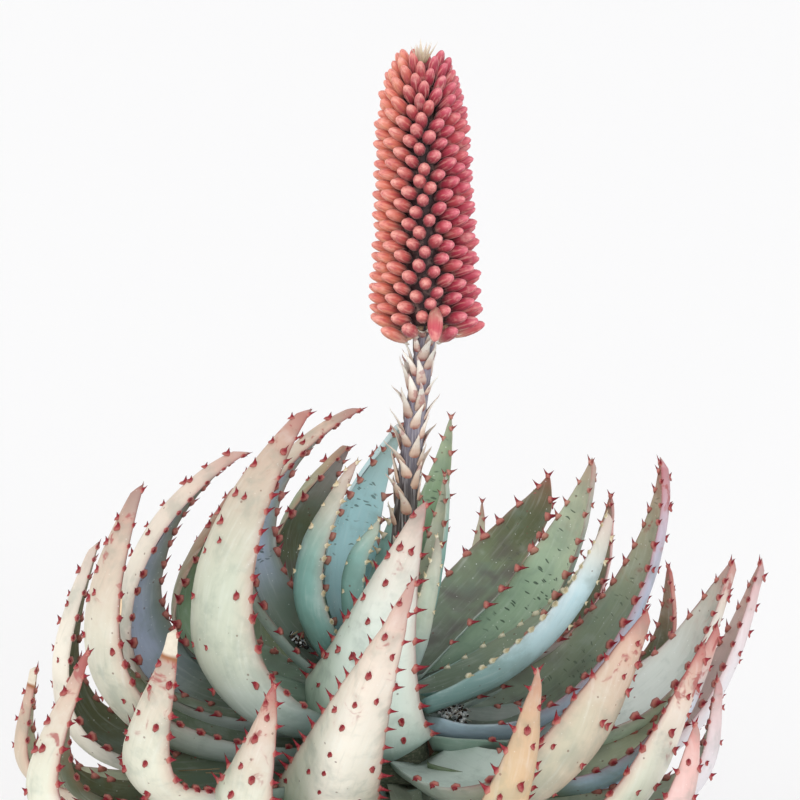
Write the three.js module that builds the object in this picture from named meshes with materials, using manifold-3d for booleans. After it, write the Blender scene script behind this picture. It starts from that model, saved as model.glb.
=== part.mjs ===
// A flowering rosette aloe in a plain clay pot, in millimetres, +Z up.
// The origin is the middle of the pot's underside. +X is the viewer's right, and -Y is towards the viewer.
// Heights of everything that grows are counted from the soil.
import * as THREE from "three";
import { mergeVertices } from "three/addons/utils/BufferGeometryUtils.js";
import Module from "manifold-3d";

const wasm = await Module();
wasm.setup();

// Driving dimensions
const GAP = 0.35; // clearance between pieces that touch
const WELD = 0.001; // corners closer than this are one
const POT_HEIGHT = 230;
const POT_RIM_RADIUS = 150;
const POT_FOOT_RADIUS = 100;
const POT_WALL = 9;
const POT_FLOOR = 12;
const COLLAR_HEIGHT = 38;
const COLLAR_STEP = 6;
const DRAIN_RADIUS = 7;
const DRAIN_RING_RADIUS = 48;
const DRAINS = 3;
const SOIL_TOP = 210;
const SOIL_MOUND = 6;
const STEM_DEPTH = 50; // how far the stem stands in the soil
const FOOT = SOIL_TOP + 40; // where the leaves start on the stem
const STEM_RADIUS = 34;
const CROWN_HEIGHT = 94;
const CROWN_RADIUS = 15;
const STALK_RADIUS = 10;
const STALK_TOP_RADIUS = 7.5;
const BRACTS = 17;
const BRACT_LENGTH = 25;
const BRACT_WIDTH = 13;
const HEAD_LEAN = [28, 0]; // where the middle of the flower head stands, in X and Y
const HEAD_BOTTOM = 336;
const HEAD_HEIGHT = 203;
const HEAD_RADIUS = 41;
const SHOULDER_RADIUS = 33; // of the head where its top starts to round off
const CORE_DEPTH = 15; // from the bud ends to the core
const BUD_LENGTH = 24;
const BUD_RADIUS = 6.2;
const BUDS = 122;
const GOLDEN_ANGLE = -137.508; // from each bud or bract to the next
const THORN_LENGTH = 6;
const THORN_RADIUS = 2.2;
const THORN_ROOT = 3; // how deep a thorn's root is sunk
const CUP = 0.4; // how far a leaf's margins stand above its middle, as a share of the half width

// Shares of a leaf's length
const PLAIN_STATIONS = [0, 0.15, 0.3]; // sections without thorns
const THORN_STATIONS = [0.45, 0.6, 0.74, 0.87];
const KEEL_THORN = 0.8;

// Faces around the round pieces
const POT_SIDES = 28;
const STEM_SIDES = 12;
const STALK_SIDES = 8;

const POT_COLOUR = 0xb5694a;
const SOIL_COLOUR = 0x4a3b2e;
const STEM_COLOUR = 0x8a8068;
const STALK_COLOUR = 0x9a8a88;
const BUD_COLOUR = 0xc9555a;
const INNER_LEAF_COLOUR = new THREE.Color(0x8fb8ae);
const OUTER_LEAF_COLOUR = new THREE.Color(0xc2c9ae);

// The leaves, from the innermost to the outermost, measured from the middle of the stem's foot.
// toward and height: the side of the stem that it grows from, in degrees from +X towards +Y, and how high
// belly and tip: its midrib halfway and at the end; finish: how steeply it ends, in degrees above the
// horizon, so that past 90 it curls back inwards; taper: the lower, the sooner it narrows
const LEAVES = [
  { toward: 210, height: 86, belly: [-23, -6, 176], tip: [-7, -3, 204], finish: 92, width: 25 },
  { toward: 330, height: 88, belly: [28, -20, 149], tip: [34, -9, 194], finish: 92, width: 26 },
  { toward: 34, height: 86, belly: [35, 15, 175], tip: [40, 20, 232], finish: 92, width: 28 },
  { toward: 200, height: 78, belly: [-58, -15, 174], tip: [-21, -14, 251], finish: 122, width: 46 },
  { toward: 85, height: 86, belly: [4, 40, 159], tip: [12, 50, 219], finish: 92, width: 38 },
  { toward: 237, height: 41, belly: [-16, -79, 124], tip: [27, -54, 233], finish: 143, width: 130, taper: 1.1 },
  { toward: 128, height: 80, belly: [-26, 50, 190], tip: [10, 46, 262], finish: 126, width: 59, taper: 1.7 },
  { toward: 66, height: 84, belly: [30, 55, 185], tip: [46, 75, 261], finish: 78, width: 34 },
  { toward: 138, height: 69, belly: [-71, 79, 167], tip: [-29, 71, 237], finish: 137, width: 72 },
  { toward: 62, height: 75, belly: [103, 112, 157], tip: [123, 130, 199], finish: 69, width: 53, taper: 1.8 },
  { toward: 206, height: 53, belly: [-122, -65, 162], tip: [-53, -5, 285], finish: 142, width: 104 },
  { toward: 160, height: 64, belly: [-95, 18, 199], tip: [-18, 19, 279], finish: 154, width: 55 },
  { toward: 30, height: 65, belly: [112, 64, 118], tip: [151, 76, 227], finish: 83, width: 75, taper: 2.3 },
  { toward: 242, height: 20, belly: [-41, -106, 40], tip: [19, -152, 213], finish: 145, width: 106, taper: 1.4 },
  { toward: 344, height: 65, belly: [125, 14, 124], tip: [157, 16, 203], finish: 84, width: 66, taper: 2.6 },
  { toward: 148, height: 54, belly: [-155, 86, 108], tip: [-111, 73, 207], finish: 121, width: 66 },
  { toward: 36, height: 64, belly: [150, 98, 106], tip: [171, 122, 186], finish: 84, width: 44 },
  { toward: 66, height: 66, belly: [64, 138, 108], tip: [74, 176, 165], finish: 88, width: 22 },
  { toward: 165, height: 45, belly: [-188, 22, 124], tip: [-98, 0, 252], finish: 156, width: 84 },
  { toward: 100, height: 58, belly: [-20, 130, 92], tip: [-24, 150, 160], finish: 88, width: 62 },
  { toward: 232, height: 12, belly: [-98, -150, 52], tip: [-73, -150, 140], finish: 104, width: 66 },
  { toward: 14, height: 51, belly: [155, 39, 86], tip: [198, 50, 235], finish: 100, width: 91, taper: 1.8 },
  { toward: 320, height: 24, belly: [126, -112, 74], tip: [174, -90, 168], finish: 68, width: 94 },
  { toward: 299, height: 11, belly: [70, -164, 38], tip: [96, -158, 154], finish: 86, width: 60 },
  { toward: 125, height: 46, belly: [-95, 130, 70], tip: [-84, 150, 145], finish: 98, width: 62 },
  { toward: 199, height: 34, belly: [-197, -58, 112], tip: [-165, -61, 247], finish: 119, width: 82, taper: 2.3 },
  { toward: 10, height: 37, belly: [198, -3, 73], tip: [248, 10, 170], finish: 69, width: 80, taper: 2.3 },
  { toward: 214, height: 19, belly: [-167, -106, 60], tip: [-139, -122, 166], finish: 102, width: 82 },
  { toward: 46, height: 44, belly: [140, 142, 62], tip: [170, 172, 120], finish: 84, width: 60 },
  { toward: 272, height: 6, belly: [4, -180, 14], tip: [6, -196, 66], finish: 92, width: 66 },
  { toward: 342, height: 23, belly: [182, -52, 50], tip: [228, -52, 144], finish: 70, width: 71 },
  { toward: 330, height: 13, belly: [166, -97, 34], tip: [214, -84, 143], finish: 70, width: 76 },
  { toward: 88, height: 36, belly: [12, 180, 50], tip: [14, 200, 116], finish: 92, width: 62 },
  { toward: 178, height: 22, belly: [-233, 8, 56], tip: [-209, 16, 181], finish: 112, width: 72 },
  { toward: 145, height: 30, belly: [-150, 116, 38], tip: [-160, 128, 92], finish: 94, width: 62 },
  { toward: 28, height: 34, belly: [208, 120, 44], tip: [218, 130, 126], finish: 92, width: 40 },
  { toward: 194, height: 4, belly: [-216, -54, 20], tip: [-223, -55, 80], finish: 98, width: 46 },
  { toward: 2, height: 18, belly: [220, 18, 40], tip: [271, 24, 166], finish: 76, width: 70 },
  { toward: 216, height: 6, belly: [-235, -110, 38], tip: [-201, -92, 141], finish: 113, width: 54 },
  { toward: 300, height: -2, belly: [88, -192, 4], tip: [90, -208, 56], finish: 90, width: 62 },
  { toward: 115, height: 20, belly: [-88, 180, 36], tip: [-96, 196, 84], finish: 90, width: 60 },
  { toward: 349, height: 4, belly: [212, -44, 16], tip: [230, -50, 104], finish: 84, width: 52 },
  { toward: 180, height: 2, belly: [-258, -8, 14], tip: [-254, -10, 95], finish: 94, width: 50 },
  { toward: 318, height: -4, belly: [180, -132, 26], tip: [202, -136, 107], finish: 84, width: 54 },
];

// A closed mesh of rings of points, each ring seen anticlockwise from its far end. An end is a point or a
// flat cap.
function lofted(rings) {
  const points = [];
  const faces = [];
  const starts = rings.map((ring) => {
    const start = points.length;
    points.push(...ring);
    return start;
  });
  for (let k = 0; k + 1 < rings.length; k++) {
    const [here, there] = [rings[k].length, rings[k + 1].length];
    const [a, b] = [starts[k], starts[k + 1]];
    for (let i = 0; i < Math.max(here, there); i++) {
      const j = i + 1;
      if (here > 1) faces.push([a + i, a + (j % here), b + (there > 1 ? j % there : 0)]);
      if (there > 1) faces.push([a + (here > 1 ? i : 0), b + (j % there), b + i]);
    }
  }
  const last = starts.length - 1;
  for (let i = 1; i + 1 < rings[0].length; i++) faces.push([starts[0], starts[0] + i + 1, starts[0] + i]);
  const end = starts[last];
  for (let i = 1; i + 1 < rings[last].length; i++) faces.push([end, end + i, end + i + 1]);
  const geometry = new THREE.BufferGeometry();
  const places = points.flatMap((point) => point.toArray());
  geometry.setAttribute("position", new THREE.Float32BufferAttribute(places, 3));
  geometry.setIndex(faces.flat());
  return geometry;
}

// A three.js geometry as a solid that can be joined and cut.
function solid(geometry) {
  const bare = new THREE.BufferGeometry().setAttribute("position", geometry.getAttribute("position"));
  if (geometry.index) bare.setIndex(geometry.index);
  const merged = mergeVertices(bare, WELD);
  return new wasm.Manifold(
    new wasm.Mesh({
      numProp: 3,
      vertProperties: merged.attributes.position.array,
      triVerts: new Uint32Array(merged.index.array),
    }),
  );
}

function geometryOf(shape) {
  const mesh = shape.getMesh();
  const geometry = new THREE.BufferGeometry();
  geometry.setAttribute("position", new THREE.BufferAttribute(mesh.vertProperties, 3));
  geometry.setIndex(new THREE.BufferAttribute(mesh.triVerts, 1));
  return geometry.toNonIndexed();
}

// The surface of a shape's largest body. A cut leaves loose scraps, and welding its finest slivers can part
// more of them, so they are dropped until one body is left.
function bodyGeometry(shape) {
  let bodies = shape.decompose();
  let geometry;
  do {
    const largest = bodies.sort((a, b) => b.volume() - a.volume())[0];
    geometry = geometryOf(largest);
    bodies = solid(geometry).decompose();
  } while (bodies.length > 1);
  return geometry;
}

// A solid of revolution about the Z axis from a closed outline of [radius, height] points, anticlockwise.
function turned(outline, sides) {
  const profile = outline.map(([radius, height]) => new THREE.Vector2(radius, height));
  const geometry = new THREE.LatheGeometry(profile, sides);
  geometry.rotateX(Math.PI / 2);
  return geometry;
}

const radians = THREE.MathUtils.degToRad;
const lerp = THREE.MathUtils.lerp;
const outward = (azimuth) => new THREE.Vector3(Math.cos(radians(azimuth)), Math.sin(radians(azimuth)), 0);
const UP = new THREE.Vector3(0, 0, 1);

// Pot: a tapered shell with a collar, a flat foot and drain holes round the middle of its floor
function potShape() {
  const collarBottom = POT_HEIGHT - COLLAR_HEIGHT;
  const underCollar = POT_RIM_RADIUS - COLLAR_STEP;
  const shell = solid(
    turned(
      [
        [0, 0],
        [POT_FOOT_RADIUS - 3, 0],
        [POT_FOOT_RADIUS, 3],
        [underCollar - 3, collarBottom - 4],
        [POT_RIM_RADIUS - 2, collarBottom],
        [POT_RIM_RADIUS, collarBottom + 4],
        [POT_RIM_RADIUS, POT_HEIGHT - 4],
        [POT_RIM_RADIUS - 4, POT_HEIGHT],
        [POT_RIM_RADIUS - POT_WALL, POT_HEIGHT],
        [POT_RIM_RADIUS - POT_WALL - 5, POT_HEIGHT - 8],
        [POT_FOOT_RADIUS - POT_WALL, POT_FLOOR],
        [0, POT_FLOOR],
      ],
      POT_SIDES,
    ),
  );
  const drains = [];
  for (let i = 0; i < DRAINS; i++) {
    const hole = new THREE.CylinderGeometry(DRAIN_RADIUS, DRAIN_RADIUS, 3 * POT_FLOOR, 10);
    hole.rotateX(Math.PI / 2);
    hole.translate(...outward((360 * i) / DRAINS + 90).multiplyScalar(DRAIN_RING_RADIUS).toArray());
    drains.push(solid(hole));
  }
  return shell.subtract(wasm.Manifold.union(drains));
}

// Soil: fills the pot, mounded slightly, with a plain hole for the stem
function soilShape() {
  const slope = (POT_RIM_RADIUS - POT_WALL - 5 - (POT_FOOT_RADIUS - POT_WALL)) / (POT_HEIGHT - 8 - POT_FLOOR);
  const wallAt = (height) => POT_FOOT_RADIUS - POT_WALL + slope * (height - POT_FLOOR) - 2 * GAP;
  const hole = STEM_RADIUS + GAP;
  return turned(
    [
      [0, POT_FLOOR + GAP],
      [wallAt(POT_FLOOR), POT_FLOOR + GAP],
      [wallAt(SOIL_TOP - 3), SOIL_TOP - 3],
      [0.75 * POT_RIM_RADIUS, SOIL_TOP + 0.3 * SOIL_MOUND],
      [hole + 14, SOIL_TOP + SOIL_MOUND],
      [hole, SOIL_TOP + SOIL_MOUND],
      [hole, SOIL_TOP - STEM_DEPTH - GAP],
      [0, SOIL_TOP - STEM_DEPTH - GAP],
    ],
    POT_SIDES,
  );
}

// Stem: a short thick stem that stands in the soil and carries every leaf
function stemRadius(height) {
  return lerp(STEM_RADIUS - 1, CROWN_RADIUS, Math.pow(Math.max(0, height / CROWN_HEIGHT), 1.3));
}

function stemShape(grow) {
  const outline = [[0, SOIL_TOP - STEM_DEPTH - grow]];
  outline.push([STEM_RADIUS - 6 + grow, SOIL_TOP - STEM_DEPTH - grow]);
  outline.push([STEM_RADIUS - 1 + grow, SOIL_TOP - STEM_DEPTH + 12]);
  for (const height of [-10, 30, 65, CROWN_HEIGHT])
    outline.push([stemRadius(height) + grow, FOOT + height + (height === CROWN_HEIGHT ? grow : 0)]);
  outline.push([0, FOOT + CROWN_HEIGHT + grow]);
  return solid(turned(outline, STEM_SIDES));
}

// A leaf's midrib, from inside the stem's skin through its belly to the tip
function midrib(leaf) {
  const base = outward(leaf.toward).multiplyScalar(stemRadius(leaf.height) - 1).setZ(FOOT + leaf.height);
  const belly = new THREE.Vector3(...leaf.belly).setZ(FOOT + leaf.belly[2]);
  const tip = new THREE.Vector3(...leaf.tip).setZ(FOOT + leaf.tip[2]);
  const finish = outward(leaf.toward).multiplyScalar(Math.cos(radians(leaf.finish)));
  finish.addScaledVector(UP, Math.sin(radians(leaf.finish)));
  const late = tip.clone().addScaledVector(finish, -0.66 * belly.distanceTo(tip));
  const early = belly.clone().multiplyScalar(8).sub(base).sub(tip).divideScalar(3).sub(late);
  return new THREE.CubicBezierCurve3(base, early, late, tip);
}

// The leaf's own axes at a share of its length: along it, across it and out of its upper face
function leafAxes(leaf, curve, share) {
  const along = curve.getTangent(share);
  const across = new THREE.Vector3().crossVectors(UP, outward(leaf.toward));
  across.addScaledVector(along, -along.dot(across)).normalize();
  const face = new THREE.Vector3().crossVectors(along, across);
  return { centre: curve.getPoint(share), along, across, face };
}

// A leaf narrows towards its root and tapers to its tip.
function halfWidth(leaf, share) {
  const root = 0.62 + 0.38 * Math.min(1, share / 0.24);
  return 0.5 * leaf.width * (1 - Math.pow(share, leaf.taper ?? 1.9)) * root;
}

function thickness(leaf, share) {
  const root = 0.7 + 0.3 * Math.min(1, share / 0.2);
  return (5 + 0.11 * leaf.width) * (1 - 0.7 * share) * root;
}

// A point of the leaf's skin: across runs from -1 to 1, and under says which face
function skinPoint(leaf, axes, share, across, under, grow) {
  const edge = halfWidth(leaf, share) + (Math.abs(across) === 1 ? 2.5 * grow : grow);
  const channel = CUP * edge * across * across;
  const belly = thickness(leaf, share) * Math.pow(1 - across * across, 0.75);
  const rise = under ? channel - belly - grow : channel + grow;
  return axes.centre.clone().addScaledVector(axes.across, edge * across).addScaledVector(axes.face, rise);
}

// A section starts in the middle of the upper face, from where its whole outline is in sight.
const SECTION = [
  [0, false],
  [-1, false],
  [-0.6, true],
  [0, true],
  [0.6, true],
  [1, false],
];

// Where a margin thorn points, and how far its tip stands from the margin
function thornReach(leaf, axes, hand, grow) {
  const size = Math.min(1, 0.5 + leaf.width / 120);
  const aim = axes.across.clone().multiplyScalar(hand).addScaledVector(axes.along, 0.5);
  return aim.normalize().multiplyScalar(size * THORN_LENGTH + 3 * grow);
}

// A blade as a row of sections from base to tip. A thorn is the margin drawn out between two close sections.
function bladeShape(leaf, grow, thorns) {
  const curve = midrib(leaf);
  const rootShare = THORN_RADIUS / curve.getLength();
  const sections = PLAIN_STATIONS.map((share) => ({ share, hands: [] }));
  THORN_STATIONS.forEach((share, k) => {
    const hands = [1, -1].filter((hand) => thorns.includes(hand * (k + 1)));
    const beside = hands.length === 0 ? [] : [rootShare];
    for (const step of beside) sections.push({ share: share - step, hands: [] });
    sections.push({ share, hands });
    for (const step of beside) sections.push({ share: share + step, hands: [] });
  });
  const rings = sections.map(({ share, hands }, k) => {
    const axes = leafAxes(leaf, curve, share);
    if (k === 0) axes.centre.addScaledVector(axes.along, -grow);
    return SECTION.map(([across, under]) => {
      const point = skinPoint(leaf, axes, share, across, under, grow);
      return hands.includes(across) ? point.add(thornReach(leaf, axes, across, 0)) : point;
    });
  });
  const end = leafAxes(leaf, curve, 1);
  rings.push([end.centre.addScaledVector(end.along, 4 * grow)]);
  return solid(lofted(rings));
}

// A three-sided thorn whose root is sunk in what it grows from
function spikeShape(root, reach, side, radius) {
  const aim = reach.clone().normalize();
  const other = new THREE.Vector3().crossVectors(aim, side).normalize();
  const ring = [0, 120, 240].map((turn) =>
    root
      .clone()
      .addScaledVector(aim, -THORN_ROOT)
      .addScaledVector(side, radius * Math.cos(radians(turn)))
      .addScaledVector(other, radius * Math.sin(radians(turn))),
  );
  return solid(lofted([ring, [root.clone().add(reach)]]));
}

// The room that a margin thorn needs
function thornRoom(leaf, curve, thorn) {
  const share = THORN_STATIONS[Math.abs(thorn) - 1];
  const axes = leafAxes(leaf, curve, share);
  const root = skinPoint(leaf, axes, share, Math.sign(thorn), false, 0);
  return spikeShape(root, thornReach(leaf, axes, Math.sign(thorn), GAP), axes.face, THORN_RADIUS + GAP);
}

function keelThorn(leaf, curve, grow) {
  const axes = leafAxes(leaf, curve, KEEL_THORN);
  const root = skinPoint(leaf, axes, KEEL_THORN, 0, true, 0);
  const aim = axes.face.clone().negate().addScaledVector(axes.along, 0.4).normalize();
  return spikeShape(root, aim.multiplyScalar(THORN_LENGTH - 1 + 3 * grow), axes.across, THORN_RADIUS + grow);
}

// Flower stalk: leans from the crown to the head, and carries papery bracts
const stalkLine = new THREE.CatmullRomCurve3([
  new THREE.Vector3(2, 0, FOOT + CROWN_HEIGHT + GAP),
  new THREE.Vector3(11, 0, FOOT + 200),
  new THREE.Vector3(19, 0, FOOT + 282),
  new THREE.Vector3(HEAD_LEAN[0], HEAD_LEAN[1], FOOT + HEAD_BOTTOM),
]);
const stalkRadius = (share) => lerp(STALK_RADIUS, STALK_TOP_RADIUS, share);

function ringAround(centre, radius, sides) {
  const ring = [];
  for (let i = 0; i < sides; i++) ring.push(outward((360 * i) / sides).multiplyScalar(radius).add(centre));
  return ring;
}

// A three-sided bract with its root in the stalk and its tip leant outwards
function bractShape(centre, azimuth, radius, lean) {
  const out = outward(azimuth);
  const across = new THREE.Vector3().crossVectors(UP, out);
  const at = (distance, side, height) =>
    centre.clone().addScaledVector(out, distance).addScaledVector(across, side).addScaledVector(UP, height);
  const ring = (distance, height, half, depth) => [
    at(distance - depth, -half, height),
    at(distance + depth, 0, height),
    at(distance - depth, half, height),
  ];
  const rings = [
    ring(radius - 1.5, 0, 0.42 * BRACT_WIDTH, 2),
    ring(radius + 1 + 0.2 * lean, 0.4 * BRACT_LENGTH, 0.36 * BRACT_WIDTH, 1),
    [at(radius + 1 + lean, 0, BRACT_LENGTH)],
  ];
  return solid(lofted(rings));
}

function stalkShape() {
  const steps = [0, 0.2, 0.4, 0.6, 0.8, 1];
  const rings = steps.map((share) => ringAround(stalkLine.getPoint(share), stalkRadius(share), STALK_SIDES));
  const bracts = [];
  for (let i = 0; i < BRACTS; i++) {
    const share = 0.28 + 0.58 * Math.pow(i / (BRACTS - 1), 0.75);
    const lean = 4 + 5 * Math.abs(Math.sin(2.1 * i));
    bracts.push(bractShape(stalkLine.getPoint(share), GOLDEN_ANGLE * i + 250, stalkRadius(share), lean));
  }
  return wasm.Manifold.union([solid(lofted(rings)), ...bracts]);
}

// Flower head: a tapered core set with closed buds in a golden-angle spiral
function headRadius(share) {
  const body = lerp(HEAD_RADIUS, SHOULDER_RADIUS, Math.min(1, share / 0.78));
  const shoulder = Math.max(0, (share - 0.72) / 0.28);
  return body - 17 * shoulder * shoulder;
}

const headCore = (share) => Math.max(5, headRadius(share) - CORE_DEPTH);

// A bud points outwards and a little up, and steeply up at the top of the head.
function budShape(share, azimuth) {
  const tilt = radians(12 + 42 * Math.pow(Math.max(0, (share - 0.7) / 0.3), 1.5));
  const aim = outward(azimuth).multiplyScalar(Math.cos(tilt)).addScaledVector(UP, Math.sin(tilt));
  const side = new THREE.Vector3().crossVectors(UP, outward(azimuth));
  const rise = new THREE.Vector3().crossVectors(side, aim).negate();
  const height = FOOT + HEAD_BOTTOM + 8 + share * (HEAD_HEIGHT - 14);
  const end = new THREE.Vector3(...HEAD_LEAN, height).addScaledVector(outward(azimuth), headRadius(share));
  const ring = (back, radius) =>
    [0, 90, 180, 270].map((turn) =>
      end
        .clone()
        .addScaledVector(aim, -back)
        .addScaledVector(side, radius * Math.cos(radians(turn)))
        .addScaledVector(rise, radius * Math.sin(radians(turn))),
    );
  const root = ring(0.9 * BUD_LENGTH, 0.35 * BUD_RADIUS);
  const belly = ring(0.36 * BUD_LENGTH, BUD_RADIUS);
  return solid(lofted([root, belly, [end]]));
}

function headShape() {
  const bottom = FOOT + HEAD_BOTTOM + GAP;
  const centre = new THREE.Vector3(...HEAD_LEAN, bottom);
  const rings = [ringAround(centre, STALK_TOP_RADIUS + 3, STALK_SIDES)];
  for (const share of [0.02, 0.4, 0.75, 1]) {
    const middle = centre.clone().addScaledVector(UP, 8 + share * (HEAD_HEIGHT - 26));
    rings.push(ringAround(middle, headCore(share), STALK_SIDES));
  }
  const buds = [];
  for (let i = 0; i < BUDS; i++) {
    const share = Math.pow(i / (BUDS - 1), 0.97);
    buds.push(budShape(share, 270 + GOLDEN_ANGLE * i));
  }
  return wasm.Manifold.union([solid(lofted(rings)), ...buds]);
}

// Assembly
const plant = new THREE.Group();

function addPiece(name, geometry, colour, roughness) {
  const material = new THREE.MeshStandardMaterial({ color: colour, roughness, metalness: 0 });
  const mesh = new THREE.Mesh(geometry, material);
  mesh.name = name;
  plant.add(mesh);
}

addPiece("pot", geometryOf(potShape()), POT_COLOUR, 0.9);
addPiece("soil", soilShape(), SOIL_COLOUR, 1);
addPiece("stem", geometryOf(stemShape(0)), STEM_COLOUR, 0.85);
addPiece("flower_stalk", bodyGeometry(stalkShape()), STALK_COLOUR, 0.8);
addPiece("flower_head", bodyGeometry(headShape()), BUD_COLOUR, 0.55);

const boxesMeet = (a, b) => {
  const [p, q] = [a.boundingBox(), b.boundingBox()];
  return [0, 1, 2].every((k) => p.min[k] < q.max[k] && q.min[k] < p.max[k]);
};
const meets = (a, b) => boxesMeet(a, b) && a.intersect(b).volume() > 0;

const stemRoom = stemShape(GAP);
const stalkRings = [0, 0.25, 0.5, 0.75, 1].map((share) =>
  ringAround(stalkLine.getPoint(share), stalkRadius(share) + 1, STEM_SIDES),
);
const stalkRoom = solid(lofted(stalkRings));

// A thorn stands only where it is clear of the stem, of the stalk and of every other leaf and thorn.
const plainRooms = LEAVES.map((leaf) => bladeShape(leaf, GAP, []));
const thornRooms = [];
const standing = LEAVES.map((leaf, i) => {
  const curve = midrib(leaf);
  const others = [stalkRoom, stemRoom, ...plainRooms.filter((room) => room !== plainRooms[i])];
  const stands = (room) => {
    const clear = ![...others, ...thornRooms].some((other) => meets(room, other));
    if (clear) thornRooms.push(room);
    return clear;
  };
  const places = [...THORN_STATIONS.keys()].flatMap((k) => [k + 1, -k - 1]);
  return {
    thorns: places.filter((thorn) => stands(thornRoom(leaf, curve, thorn))),
    keel: leaf.width > 45 && stands(keelThorn(leaf, curve, GAP)),
  };
});

// Each blade gives way to the stem, to the stalk and to the leaves inside it.
const leafRooms = [];
LEAVES.forEach((leaf, i) => {
  const { thorns, keel } = standing[i];
  const whole = (grow) => {
    const blade = bladeShape(leaf, grow, thorns);
    return keel ? blade.add(keelThorn(leaf, midrib(leaf), grow)) : blade;
  };
  let shape = whole(0);
  for (const room of [stemRoom, stalkRoom, ...leafRooms]) {
    if (meets(shape, room)) shape = shape.subtract(room);
  }
  leafRooms.push(whole(GAP));
  const colour = INNER_LEAF_COLOUR.clone().lerp(OUTER_LEAF_COLOUR, i / (LEAVES.length - 1));
  addPiece(`leaf_${String(i + 1).padStart(2, "0")}`, bodyGeometry(shape), colour, 0.5);
});

export default plant;
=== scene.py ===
import math
import random
from collections import namedtuple

import bmesh
import bpy
from bpy.props import FloatProperty, FloatVectorProperty, IntProperty, PointerProperty
from mathutils import Matrix, Vector, noise


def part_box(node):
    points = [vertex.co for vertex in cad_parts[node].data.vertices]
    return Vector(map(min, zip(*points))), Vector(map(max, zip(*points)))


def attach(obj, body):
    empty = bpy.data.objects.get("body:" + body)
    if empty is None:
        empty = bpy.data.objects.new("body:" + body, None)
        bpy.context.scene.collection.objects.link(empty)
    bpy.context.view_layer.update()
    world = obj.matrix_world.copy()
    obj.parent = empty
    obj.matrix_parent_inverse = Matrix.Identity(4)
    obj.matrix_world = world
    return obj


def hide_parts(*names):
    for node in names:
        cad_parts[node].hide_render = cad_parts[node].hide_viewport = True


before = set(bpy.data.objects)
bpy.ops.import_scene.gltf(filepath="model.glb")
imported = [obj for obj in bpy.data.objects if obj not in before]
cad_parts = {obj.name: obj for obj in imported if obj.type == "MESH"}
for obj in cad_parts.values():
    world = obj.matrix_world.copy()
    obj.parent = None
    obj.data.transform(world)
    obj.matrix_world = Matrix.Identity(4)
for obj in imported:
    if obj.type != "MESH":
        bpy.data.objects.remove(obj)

bl_info = {
    "name": "Potted aloe",
    "version": (1, 0, 0),
    "blender": (4, 5, 0),
    "location": "View3D > Sidebar > Aloe",
    "description": "Dresses the solids of a flowering aloe in its pot and sets the studio round them",
    "category": "Object",
}

MM = 0.001
UP = Vector((0, 0, 1))
POT_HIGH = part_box("pot")[1]
SOIL_LOW, SOIL_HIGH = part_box("soil")
STEM_LOW, STEM_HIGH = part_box("stem")
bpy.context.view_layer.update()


def paint(code):
    """A linear colour from six hexadecimal digits."""
    parts = [int(code[k : k + 2], 16) / 255 for k in (0, 2, 4)]
    return tuple(c / 12.92 if c <= 0.04045 else ((c + 0.055) / 1.055) ** 2.4 for c in parts)


def mixed(a, b, share):
    """A colour between two others."""
    return tuple(x + (y - x) * share for x, y in zip(a, b))


def within(value, low, span):
    """How far a value lies into a span, held between 0 and 1."""
    return min(1.0, max(0.0, (value - low) / span))


def smooth(low, high, value):
    """0 below low, 1 above high and an even ease between them."""
    t = within(value, low, high - low)
    return t * t * (3 - 2 * t)


def outward(degrees):
    """The level direction of an azimuth."""
    return Vector((math.cos(math.radians(degrees)), math.sin(math.radians(degrees)), 0))


# Settings


def length(name, description, default):
    words = {"name": name, "description": description}
    return FloatProperty(**words, default=default, unit="LENGTH", min=0, precision=4)


def count(name, description, default, least=0):
    return IntProperty(name=name, description=description, default=default, min=least)


def tint(name, description, code):
    words = {"name": name, "description": description}
    return FloatVectorProperty(**words, default=paint(code), subtype="COLOR", size=3, min=0, max=1)


class PotSettings(bpy.types.PropertyGroup):
    wall: length("Wall", "Thickness of the pot's wall", 0.009)
    collar: length("Collar", "Height of the thicker band at the rim", 0.038)
    step: length("Step", "How far the band stands out from the side", 0.006)
    clay: tint("Clay", "Fired clay of the pot", "B86C4C")
    bloom: tint("Lime bloom", "Pale mineral stain on the clay", "DCC3AE")


class SoilSettings(bpy.types.PropertyGroup):
    mix: tint("Potting mix", "Dark part of the soil", "3B2C20")
    grit: tint("Grit", "Stones on the soil", "A79A88")
    stones: count("Stones", "Stones that lie on the soil", 420)


class LeafSettings(bpy.types.PropertyGroup):
    foot: length("Rosette foot", "Height of the lowest leaf roots above the floor", 0.25)
    thorn: length("Thorn", "Length of the longest thorns", 0.0098)
    spacing: length("Spacing", "Distance between thorns along a margin", 0.0145)
    across: count("Faces around", "Faces around a leaf", 28, 12)
    along: count("Faces along", "Faces along a leaf", 60, 20)
    blush: tint("Blush", "Rosy tan of sun-flushed tips and margins", "D28F80")
    thorn_red: tint("Red thorn", "Thorns of the outer leaves", "861C2A")
    thorn_tip: tint("Thorn tip", "Hard points of the thorns", "300F14")
    thorn_cream: tint("Cream thorn", "Thorn roots of the inner leaves", "E9E4CC")
    dash: tint("Dashes", "Dark dashes on the upper faces", "33463C")
    blotch: tint("Blotches", "Purple-brown stains near the leaf roots", "584850")


class FlowerSettings(bpy.types.PropertyGroup):
    buds: count("Buds", "Buds in the head", 300, 2)
    bud_length: length("Bud length", "Length of a closed bud", 0.0235)
    bud_radius: length("Bud radius", "Radius of a closed bud", 0.0043)
    bracts: count("Bracts", "Papery bracts on the stalk", 62, 2)
    coral: tint("Coral", "Sides of the buds", "C24A55")
    salmon: tint("Salmon", "Tips of the buds", "E39C90")
    stalk: tint("Stalk", "Skin of the flower stalk", "85808E")
    paper: tint("Paper", "Dry bracts", "F2EDE3")


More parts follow.
